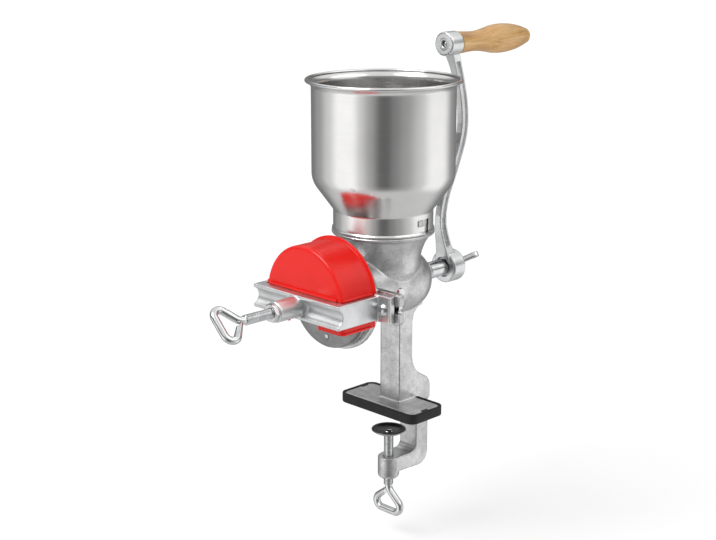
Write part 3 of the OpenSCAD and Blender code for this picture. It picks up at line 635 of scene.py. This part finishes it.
def spun_hopper():
    """The hopper with its two bayonet slots."""
    mesh = mesh_from(turned(hopper_outline(), steps=256, closed=True), "spun_hopper", crease=50.0)
    for cutter in slot_cutters(0.0) + slot_cutters(180.0):
        mesh = cut(mesh, cutter)
    mesh = mesh_from(opened(mesh), "spun_hopper", crease=40.0)
    place_piece("spun_hopper", mesh, "hopper_unit", SPUN, "hopper_steel", "hopper")


# Red guard

GUARD_LIP = 3.0
GUARD_WALL = 1.8
GUARD_EDGE = 4.0
LIP_HALF = 1.1
LIP_CURVE = 1.2
INNER_CURVE = 1.6
GUARD_R = reach("guard", "X")[1] - GUARD_LIP
GUARD_BACK = reach("guard", "Y")[1]
GUARD_FRONT = reach("yoke", "Y")[0] + 36.5
SKIRT_Z, GUARD_TOP = reach("guard", "Z")
ARCH_Z = GUARD_TOP - GUARD_R - GUARD_LIP
YOKE_FEET_TOP = reach("yoke", "Z")[1]
YOKE_FEET_FRONT = -67.0
BAR_TOP = YOKE_FEET_TOP - 1.5

# The way for the screw, and how far the cutters run past the guard
PORT_R = 20.0
PORT_Z = SHAFT_Z - 10.0
PORT_DEPTH = 4.0
PAST = 2.0

# Ribs over the yoke's bar and along the skirt's hem
RIB_H = 3.0
RIB_END = 6.0
RIB_EASE = 1.0
FRONT_RIB_PROUD = 2.4
FRONT_RIB_SUNK = 1.0
SIDE_RIB_PROUD = 1.2
SIDE_RIB_SUNK = 1.3
SIDE_RIB_START = GUARD_FRONT + 2.0
SIDE_RIB_STOP = YOKE_FEET_FRONT - 0.2
HEM_H = 2.4
HEM_EASE = 0.8


def guard_outline():
    """The guard from its middle out along the front, back along the wall, round the lip and home inside."""
    lip_y = GUARD_BACK - LIP_HALF
    inner = (GUARD_R - GUARD_WALL - INNER_CURVE, GUARD_FRONT + GUARD_WALL + INNER_CURVE)
    outline = [(0.0, GUARD_FRONT)]
    outline += arc((GUARD_R - GUARD_EDGE, GUARD_FRONT + GUARD_EDGE), GUARD_EDGE, -90, 0, 10)
    outline += arc((GUARD_R + LIP_CURVE, lip_y - LIP_HALF - LIP_CURVE), LIP_CURVE, 180, 90, 5)
    outline += arc((GUARD_R + GUARD_LIP - LIP_HALF, lip_y), LIP_HALF, -90, 90, 8)
    outline += [(GUARD_R - GUARD_WALL, GUARD_BACK)]
    outline += arc(inner, INNER_CURVE, 0, -90, 4)
    return outline + [(0.0, GUARD_FRONT + GUARD_WALL)]


def guard_shell():
    """The arch of the guard with its straight skirt drawn down from it."""
    bm = bmesh.new()
    corners = [bm.verts.new(mm(radius, depth, ARCH_Z)) for radius, depth in guard_outline()]
    lines = [bm.edges.new(pair) for pair in zip(corners, corners[1:])]
    bmesh.ops.spin(
        bm, geom=corners + lines, cent=mm(0, 0, ARCH_Z), axis=(0, -1, 0), angle=math.pi, steps=96,
        use_merge=False)
    bmesh.ops.remove_doubles(bm, verts=bm.verts, dist=TOUCH)
    feet = [edge for edge in bm.edges if all(abs(v.co.z - ARCH_Z * MM) < TOUCH for v in edge.verts)]
    feet = [edge for edge in feet if edge.is_boundary]
    drop = bmesh.ops.extrude_edge_only(bm, edges=feet)["geom"]
    bmesh.ops.translate(bm, vec=mm(0, 0, SKIRT_Z - ARCH_Z), verts=only(bmesh.types.BMVert, drop))
    rim = [edge for edge in only(bmesh.types.BMEdge, drop) if edge.is_boundary]
    bmesh.ops.holes_fill(bm, edges=rim, sides=0)
    return bm


def guard_cutters():
    """What the yoke and the screw take out of the guard."""
    front = GUARD_FRONT - PAST
    back = GUARD_BACK + PAST
    foot = SKIRT_Z - PAST
    shapes = []
    for side in (-1, 1):
        near, far = sorted((side * GUARD_R, side * (GUARD_R + PORT_R)))
        shapes.append(block((near, front, foot), (far, back, BAR_TOP)))
        shapes.append(block((near, YOKE_FEET_FRONT, foot), (far, back, YOKE_FEET_TOP)))
    shapes.append(block((-PORT_R, front, foot), (PORT_R, GUARD_FRONT + PORT_DEPTH, PORT_Z)))
    port = turned([(0, -PAST), (PORT_R, -PAST), (PORT_R, PORT_DEPTH), (0, PORT_DEPTH)], steps=64)
    shapes.append(moved(port, y=GUARD_FRONT, z=PORT_Z, along="Y"))
    return shapes


def red_guard():
    """The guard with the ribs that rest on the yoke."""
    mesh = mesh_from(guard_shell(), "red_guard")
    for cutter in guard_cutters():
        mesh = cut(mesh, cutter)
    half = GUARD_R - RIB_END
    rib_top = BAR_TOP + RIB_H
    front = GUARD_FRONT - FRONT_RIB_PROUD
    back = GUARD_FRONT + FRONT_RIB_SUNK
    ribs = [block((-half, front, BAR_TOP), (half, back, rib_top), RIB_EASE)]
    hem_end = GUARD_BACK - RIB_END
    hem_top = SKIRT_Z + HEM_H
    for side in (-1, 1):
        near, far = sorted((side * (GUARD_R - SIDE_RIB_SUNK), side * (GUARD_R + SIDE_RIB_PROUD)))
        ribs.append(block((near, SIDE_RIB_START, BAR_TOP), (far, SIDE_RIB_STOP, rib_top), RIB_EASE))
        ribs.append(block((near, SIDE_RIB_START, SKIRT_Z), (far, hem_end, hem_top), HEM_EASE))
    mesh = mesh_from(joined(opened(mesh), *ribs), "red_guard", crease=32.0)
    place_piece("red_guard", mesh, "frame", RED, "guard_red", "guard")


# Hand screws with their wire loops, and the pad

WIRE_R = 3.7
WIRE_SIDES = 32
BEND_STEP = 6
FEWEST_BEND_STEPS = 6
LOOP_H = 27.0
LOOP_LEAN = 50.0
LOOP_BEND = 7.0
LOOP_TURN = 225.0
SHANK_BEND = 11.0
SHANK_L = 5.0
BEND_START = 2.0
LEG_OVER = 0.7
THREAD_START = 1.6
NOSE_H = 1.4
NOSE_LAP = 0.2
NOSE_NECK_L = 2.8
NOSE_RIVET_R = PAD_BORE + 1.4
PAD_PLAY = 0.4
PAD_SHEET = 2.0
PAD_RIM = 0.9


def bent_wire(radius, course, end_slant):
    """A round wire from the origin down, bent in the XZ plane by rows of length, bend radius and turn."""
    bm = bmesh.new()
    bmesh.ops.create_circle(bm, cap_ends=True, radius=radius * MM, segments=WIRE_SIDES)
    rim = bm.edges[:]
    place = Vector((0, 0, 0))
    heading = Vector((0, 0, -1))
    bend_axis = Vector((0, -1, 0))
    for length, bend, turn in course:
        grown = bmesh.ops.extrude_edge_only(bm, edges=rim)["geom"]
        bmesh.ops.translate(bm, verts=only(bmesh.types.BMVert, grown), vec=heading * length * MM)
        rim = [edge for edge in only(bmesh.types.BMEdge, grown) if edge.is_boundary]
        place = place + heading * length * MM
        if turn:
            inward = Vector((-heading.z, 0, heading.x)) * math.copysign(bend * MM, turn)
            swing = Matrix.Rotation(math.radians(turn), 3, bend_axis)
            spun = bmesh.ops.spin(
                bm, geom=rim, cent=place + inward, axis=bend_axis, angle=math.radians(turn),
                steps=max(FEWEST_BEND_STEPS, round(abs(turn) / BEND_STEP)), use_merge=False)["geom_last"]
            rim = only(bmesh.types.BMEdge, spun)
            place = place + inward - swing @ inward
            heading = swing @ heading
    ends = list({vert for edge in rim for vert in edge.verts})
    slant = Matrix.Rotation(math.radians(end_slant), 3, bend_axis)
    bmesh.ops.rotate(bm, verts=ends, cent=place, matrix=slant)
    bmesh.ops.contextual_create(bm, geom=rim)
    return bm


def loop_handle():
    """The wire loop of a hand screw, bent from its shank at Z zero and left open at its cut end."""
    lean = math.radians(LOOP_LEAN)
    fall = LOOP_H + BEND_START - SHANK_BEND * math.sin(lean) - LOOP_BEND * (1 + math.sin(lean))
    leg = fall / math.cos(lean)
    corner = SHANK_BEND * (1 - math.cos(lean)) + leg * math.sin(lean) - LOOP_BEND * math.cos(lean)
    back_turn = -90.0 - LOOP_LEAN
    course = [
        (SHANK_L, SHANK_BEND, LOOP_LEAN), (leg, LOOP_BEND, back_turn), (2 * corner, LOOP_BEND, back_turn),
        (leg + LEG_OVER, 0.0, 0.0)]
    return moved(bent_wire(WIRE_R, course, LOOP_LEAN - 90.0), z=SHANK_L + BEND_START)


def clamp_screw():
    """The clamp screw: wire loop, threaded shank and the neck that holds the pad."""
    apex = reach("clamp_screw", "Z")[0] + WIRE_R + LOOP_H
    top = reach("clamp_pad", "Z")[0] - PAD_PLAY
    start = apex + THREAD_START
    loop = moved(loop_handle(), y=SCREW_Y, z=apex)
    foot = top - NOSE_H
    rivet = top + NOSE_NECK_L
    shank = moved(thread(SCREW_R, foot + NOSE_LAP - start, SCREW_PITCH), y=SCREW_Y, z=start)
    outline = [(0, foot), (SCREW_R - 0.4, foot), (SCREW_R - 1.0, top), (PAD_BORE, top), (PAD_BORE, rivet)]
    outline += [(NOSE_RIVET_R, rivet), (NOSE_RIVET_R - 0.4, rivet + 0.7), (PAD_BORE, rivet + 1.2)]
    outline += [(0, rivet + 1.4)]
    nose = moved(turned(outline, steps=48), y=SCREW_Y)
    mesh = mesh_from(joined(loop, shank, nose), "clamp_screw_and_loop")
    place_piece("clamp_screw_and_loop", mesh, "clamp_handle", PLATED, "plated_steel", "clamp_screw")


def adjusting_screw():
    """The adjusting screw: wire loop and threaded shank, laid along the shaft's line."""
    front, tip = reach("adjusting_screw", "Y")
    apex = front + WIRE_R + LOOP_H
    start = apex + THREAD_START
    loop = moved(loop_handle(), y=apex, z=SHAFT_Z, along="Y", turn=LOOP_TURN)
    shank = moved(thread(SCREW_R, tip - start, SCREW_PITCH), y=start, z=SHAFT_Z, along="Y")
    mesh = mesh_from(joined(loop, shank), "adjusting_screw_and_loop")
    place_piece("adjusting_screw_and_loop", mesh, "adjuster", PLATED, "plated_steel", "adjusting_screw")


def dished_pad():
    """The pressed pad on the clamp screw's nose, with painted shade on the faces that look up and painted
    light on its sides and underneath.
    """
    floor, top = reach("clamp_pad", "Z")
    radius = reach("clamp_pad", "X")[1]
    bore = PAD_BORE + 0.1
    outline = [(bore, floor), (radius * 0.5, floor)]
    outline += [(radius * 0.66, floor + 0.5), (radius * 0.84, floor + 2.0), (radius - 0.8, top - 1.9)]
    outline += arc((radius - PAD_RIM, top - PAD_RIM), PAD_RIM, -30, 100, 8)
    outline += [(radius - 2.2, top - 0.3), (radius * 0.80, top - 1.8)]
    inner_floor = floor + PAD_SHEET
    outline += [(radius * 0.62, inner_floor + 0.6), (radius * 0.48, inner_floor), (bore, inner_floor)]
    mesh = mesh_from(moved(turned(outline, steps=128, closed=True), y=SCREW_Y), "dished_pad")
    pad = place_piece("dished_pad", mesh, "clamp_foot", DARK_STEEL_SHADED_TOP, "pad_steel", "clamp_pad")
    pad.data.materials.append(SIDE_LIT_STEEL)
    # Faces that look up take the darker copy, painted shade; the rest take the lighter copy, painted light.
    for face in pad.data.polygons:
        face.material_index = 1 if face.normal.z < 0.1 else 0


# Shaft and worm

HUB_L = 14.0
TAP_R = 4.1
TAP_PAST_HUB = 4.4
CARRIER_STEP = 1.5
HUB_STEP = 1.0
WORM_TURNS = 2.4
WORM_STEPS = 150
WORM_WALL = 2.5
WORM_ROOT_FLARE = 1.0
WORM_TIP_EASE = 0.6
WORM_TIP_SLOPE = 0.8
# Part of a turn, in degrees, that the flight's root takes up
WORM_FLIGHT = 56.0


def turned_shaft():
    """The shaft, stepped for the burr carrier and for the crank."""
    front, back = reach("auger_shaft", "Y")
    shoulder = reach("rotary_burr", "Y")[1] + 1.0
    hub = back - HUB_L
    carrier_r = SHAFT_R - CARRIER_STEP
    hub_r = SHAFT_R - HUB_STEP
    outline = [(0, front), (carrier_r - 0.8, front), (carrier_r, front + 0.8), (carrier_r, shoulder)]
    outline += [(SHAFT_R - 0.5, shoulder), (SHAFT_R, shoulder + 0.5)]
    outline += [(SHAFT_R, hub - 0.3), (SHAFT_R - 0.3, hub), (hub_r, hub), (hub_r, back)]
    outline += [(TAP_R, back), (TAP_R, hub - TAP_PAST_HUB), (0, hub - TAP_PAST_HUB)]
    mesh = mesh_from(moved(turned(outline), z=SHAFT_Z, along="Y"), "turned_shaft")
    place_piece("turned_shaft", mesh, "rotor", PLATED, "plated_steel", "auger_shaft")


def feed_worm():
    """The worm's thick flight, wound round its core."""
    front, back = reach("auger_worm", "Y")
    tip = reach("auger_worm", "X")[1]
    length = back - front
    core = SHAFT_R + WORM_WALL
    bore = SHAFT_R + 0.2
    half = 0.5 * length / WORM_TURNS * WORM_FLIGHT / 360.0
    bm = bmesh.new()
    flare = WORM_ROOT_FLARE
    crest = half - WORM_TIP_SLOPE
    flank = [(core - flare, half + flare), (core + flare, half), (tip - WORM_TIP_EASE, crest)]
    flank += [(tip, crest - WORM_TIP_EASE)]
    section = filled(bm, [(radius, -height) for radius, height in flank] + flank[::-1])
    bmesh.ops.spin(
        bm, geom=section, cent=(0, 0, 0), axis=(0, 0, -1), dvec=mm(0, 0, length / WORM_STEPS),
        angle=FULL_TURN * WORM_TURNS, steps=WORM_STEPS, use_merge=False)
    trimmed(bm, mm(0, 0, 0), (0, 0, -1))
    trimmed(bm, mm(0, 0, length), (0, 0, 1))
    sleeve = turned([(bore, 0), (core, 0), (core, length), (bore, length)], steps=64, closed=True)
    mesh = mesh_from(moved(joined(bm, sleeve), y=front, z=SHAFT_Z, along="Y"), "feed_worm")
    place_piece("feed_worm", mesh, "rotor", BURR, "burr_iron", "auger_worm")


# Crank, grip and its spindle

# Grip radii as shares of its widest, and places as shares of its length
GRIP_RADIUS = 0.76
NECK_DIP = 0.09
NECK_END = 0.5
PALM_SWELL = 0.24
PALM_START = 0.2
PALM_L = 0.86
ROUND_START = 0.6
ROUND_L = 0.47
ROUND_POWER = 0.6
GRIP_START = 0.02
GRIP_END = 0.97
GRIP_STEPS = 48
END_STEPS = 10
HEAD_SINK = 9.4
COLLAR_IN = 0.8
COLLAR_OUT = 3.0
COLLAR_L = 3.0
COLLAR_PROUD = 0.1
CRANK_VOXEL = 0.5
CRANK_ROUNDS = 7
RIVET_SET_BACK = 1.2
HEAD_L = 4.0


def grip_radius(share):
    """The grip's radius along its length, as a share of its widest."""
    dip = NECK_DIP * math.sin(math.pi * min(1.0, share / NECK_END))
    swell = PALM_SWELL * math.sin(math.pi * max(0.0, share - PALM_START) / PALM_L) ** 2
    end_round = (1.0 - (max(0.0, share - ROUND_START) / ROUND_L) ** 2) ** ROUND_POWER
    return min(GRIP_RADIUS - dip + swell, end_round)


def turned_grip():
    """The wooden grip, swelling to the palm and bored for its spindle."""
    front, back = reach("grip", "Y")
    length = back - front
    widest = reach("grip", "X")[1]
    bore = SPINDLE_R + 0.1
    sink = HEAD_R + 0.4
    start = widest * grip_radius(0.0)
    end = widest * grip_radius(GRIP_END)
    edge = end - HEAD_R - 0.6
    outline = [(bore, 0.0), (start - 1.4, 0.0), (start - 0.6, 0.3), (start - 0.1, 1.1)]
    for step in range(GRIP_STEPS + 1):
        share = GRIP_START + (GRIP_END - GRIP_START) * step / GRIP_STEPS
        outline.append((widest * grip_radius(share), length * share))
    for step in range(1, END_STEPS):
        turn = math.radians(90.0 * step / END_STEPS)
        along = GRIP_END + (1.0 - GRIP_END) * math.sin(turn)
        outline.append((end - edge * (1 - math.cos(turn)), length * along))
    outline += [(HEAD_R + 0.6, length), (sink, length - 0.4), (sink, length - HEAD_SINK)]
    outline += [(bore, length - HEAD_SINK)]
    grip = moved(turned(outline, closed=True), y=front, z=midway("grip", "Z"), along="Y")
    place_piece("turned_grip", mesh_from(grip, "turned_grip"), "grip_unit", WOOD, "grip_wood", "grip")


def crank_casting():
    """The crank, with the hole in its boss drawn in round the spindle's riveted end."""
    face = reach("grip_spindle", "Y")[0]
    front = face - COLLAR_PROUD
    back = face + COLLAR_L
    hole = SPINDLE_R - COLLAR_IN
    outer = SPINDLE_R + COLLAR_OUT
    collar = turned([(hole, front), (outer, front), (outer, back), (hole, back)], steps=64, closed=True)
    collar = moved(collar, z=midway("grip_spindle", "Z"), along="Y")
    mesh = softened(CRANK_VOXEL, CRANK_ROUNDS, 1.0, "crank_arm", added=collar)
    place_piece("crank_casting", mesh, "rotor", BUFFED, "cast_body", "crank_arm")


def grip_rivet():
    """The spindle: riveted end in the crank's boss, and a head sunk in the grip."""
    front, back = reach("grip_spindle", "Y")
    tip = front + RIVET_SET_BACK
    head = back - HEAD_L
    outline = [(0, tip), (SPINDLE_R * 0.4, tip + 0.3), (SPINDLE_R * 0.65, tip + 1.0)]
    outline += [(SPINDLE_R - 0.6, tip + 1.8), (SPINDLE_R, tip + 2.8), (SPINDLE_R, head)]
    outline += [(HEAD_R, head), (HEAD_R, back - 1.5), (HEAD_R - 1.5, back), (0, back)]
    spindle = moved(turned(outline, steps=64), z=midway("grip_spindle", "Z"), along="Y")
    mesh = mesh_from(spindle, "grip_rivet")
    place_piece("grip_rivet", mesh, "rotor", PLATED, "plated_steel", "grip_spindle")


# Bolts of the yoke

BOLT_R = 3.0
BOLT_PITCH = 1.0
BOLT_HEAD_R = 6.0
BOLT_HEAD_H = 3.6
BOLT_DOME_R = 6.9
BOLT_PLAIN_L = 20.0
BOLT_LAP = 1.0


def carriage_bolts():
    """The yoke's two bolts, with domed heads and threaded ends."""
    front, back = reach("yoke_bolts", "Y")
    outer = reach("yoke_bolts", "X")[1]
    plain_r = BOLT_R - 0.4
    thread_y = BOLT_PLAIN_L - BOLT_LAP
    outline = arc((0, BOLT_DOME_R), BOLT_DOME_R, -90, -32, 12)
    outline += [(BOLT_HEAD_R, BOLT_HEAD_H - 0.5), (BOLT_HEAD_R - 0.3, BOLT_HEAD_H), (plain_r, BOLT_HEAD_H)]
    outline += [(plain_r, BOLT_PLAIN_L), (0, BOLT_PLAIN_L)]
    bolts = []
    for side in (-1, 1):
        place = side * (outer - BOLT_HEAD_R)
        ridges = thread(BOLT_R, back - front - thread_y, BOLT_PITCH)
        bolts.append(moved(turned(outline, steps=64), x=place, y=front, z=SHAFT_Z, along="Y"))
        bolts.append(moved(ridges, x=place, y=front + thread_y, z=SHAFT_Z, along="Y"))
    mesh = mesh_from(joined(*bolts), "carriage_bolts")
    place_piece("carriage_bolts", mesh, "frame", PLATED, "plated_steel", "yoke_bolts")


soft_pieces()
spun_hopper()
red_guard()
clamp_screw()
adjusting_screw()
dished_pad()
turned_shaft()
feed_worm()
turned_grip()
crank_casting()
grip_rivet()
carriage_bolts()


# Nodes that show as they are

NODE_FINISHES = {
    "fixed_burr": BURR, "rotary_burr": BURR, "fixed_burr_screws": PLATED, "rotary_burr_rivets": PLATED,
    "drive_pin": PLATED, "yoke_washers": PLATED, "thrust_ball": PLATED,
}
for node, finish in NODE_FINISHES.items():
    nodes[node].data.materials.clear()
    nodes[node].data.materials.append(finish)


# Floor, light and the surroundings that the metal shows

# How far the clamp screw can fall, and what the floor leaves under it, in millimetres
CLAMP_FALL = 23.5
FLOOR_GAP = 1.0
FLOOR_Z = (reach("clamp_screw", "Z")[0] - CLAMP_FALL - FLOOR_GAP) * MM
FLOOR_HALF = 30.0
FLOOR_GREY = 0.44
FLOOR_GLOW = 0.60
WHITE = opaque(1.0)

EVEN_LIGHT = 0.44
TOP_SCREEN = 1.0
DARK_BAND = 0.22
FLOOR_SCREEN = 0.72
# Heights, from nought straight down to one straight up, at which each band comes in
DARK_BAND_RISE = [(0.49, 0.0), (0.55, 1.0)]
TOP_SCREEN_RISE = [(0.66, 0.0), (0.78, 1.0)]
FLOOR_SCREEN_FALL = [(0.12, 1.0), (0.27, 0.0)]
# Place along the ring of screens, where half way faces the camera, and how bright it is there
SCREENS = [
    (0.00, 0.20), (0.08, 0.22), (0.16, 0.42), (0.23, 0.82), (0.29, 1.34), (0.36, 1.34),
    (0.40, 0.80), (0.44, 0.46), (0.49, 0.12), (0.515, 0.12), (0.55, 0.26), (0.60, 0.42),
    (0.67, 0.74), (0.73, 1.22), (0.80, 1.22), (0.88, 0.36), (0.94, 0.22), (1.00, 0.20),
]
# Name, strength, spread, bearing to the right of the camera and height, in degrees
LAMPS = [
    ("key_light", 1.9, 35.0, -60.0, 52.0),
    ("fill_light", 0.6, 60.0, 70.0, 35.0),
]


def white_floor():
    """A large pale floor that looks white to the camera and still takes the shadow."""
    bm = bmesh.new()
    bmesh.ops.create_grid(bm, x_segments=1, y_segments=1, size=FLOOR_HALF)
    bmesh.ops.translate(bm, verts=bm.verts, vec=(0, 0, FLOOR_Z))
    floor = bpy.data.objects.new("floor", mesh_from(bm, "floor"))
    scene.collection.objects.link(floor)
    look = Finish("floor_white")
    look.set(Base_Color=opaque(FLOOR_GREY), Roughness=1.0, Specular_IOR_Level=0.0)
    look.set(Emission_Color=WHITE, Emission_Strength=FLOOR_GLOW)
    clear = look.add("ShaderNodeBsdfTransparent")
    path = look.add("ShaderNodeLightPath")
    shown = look.choose(path.outputs["Is Glossy Ray"], look.shader.outputs["BSDF"], clear.outputs["BSDF"])
    look.feed(shown, look.tree.nodes["Material Output"].inputs["Surface"])
    floor.data.materials.append(look.material)


def studio_world():
    """Even light for matt pieces, and upright light and dark screens for the metal to show."""
    scene.world = bpy.data.worlds.new("studio")
    scene.world.use_nodes = True
    studio = NodeTree(scene.world.node_tree)
    studio.tree.nodes.clear()
    coords = studio.add("ShaderNodeTexCoord")
    parts = studio.add("ShaderNodeSeparateXYZ")
    studio.feed(coords.outputs["Generated"], parts.inputs["Vector"])
    bearing = studio.maths("ARCTAN2", parts.outputs["Y"], parts.outputs["X"])
    turns = studio.maths("DIVIDE", bearing, FULL_TURN)
    facing = studio.maths("FRACT", studio.maths("ADD", turns, 0.5 - CAMERA_BEARING / 360.0))
    height = studio.maths("ADD", studio.maths("MULTIPLY", parts.outputs["Z"], 0.5), 0.5)
    screens = studio.ramp(facing, SCREENS, "EASE")
    for level, stops in (
            (DARK_BAND, DARK_BAND_RISE), (TOP_SCREEN, TOP_SCREEN_RISE), (FLOOR_SCREEN, FLOOR_SCREEN_FALL)):
        screens = studio.mix(screens, opaque(level), studio.ramp(height, stops, "EASE"))
    even = studio.add("ShaderNodeBackground", Color=WHITE, Strength=EVEN_LIGHT)
    white = studio.add("ShaderNodeBackground", Color=WHITE)
    mirrored = studio.add("ShaderNodeBackground")
    studio.feed(screens, mirrored.inputs["Color"])
    path = studio.add("ShaderNodeLightPath")
    lit = studio.choose(path.outputs["Is Glossy Ray"], even.outputs[0], mirrored.outputs[0])
    seen = studio.choose(path.outputs["Is Camera Ray"], lit, white.outputs[0])
    out = studio.add("ShaderNodeOutputWorld")
    studio.feed(seen, out.inputs["Surface"])


def lamps():
    """Soft distant lamps."""
    for name, strength, spread, bearing, height in LAMPS:
        data = bpy.data.lights.new(name, "SUN")
        data.energy = strength
        data.angle = math.radians(spread)
        lamp = bpy.data.objects.new(name, data)
        turn = math.radians(bearing + CAMERA_BEARING)
        rise = math.radians(height)
        toward = Vector((math.cos(turn) * math.cos(rise), math.sin(turn) * math.cos(rise), math.sin(rise)))
        lamp.rotation_euler = toward.to_track_quat("Z", "Y").to_euler()
        scene.collection.objects.link(lamp)


white_floor()
studio_world()
lamps()
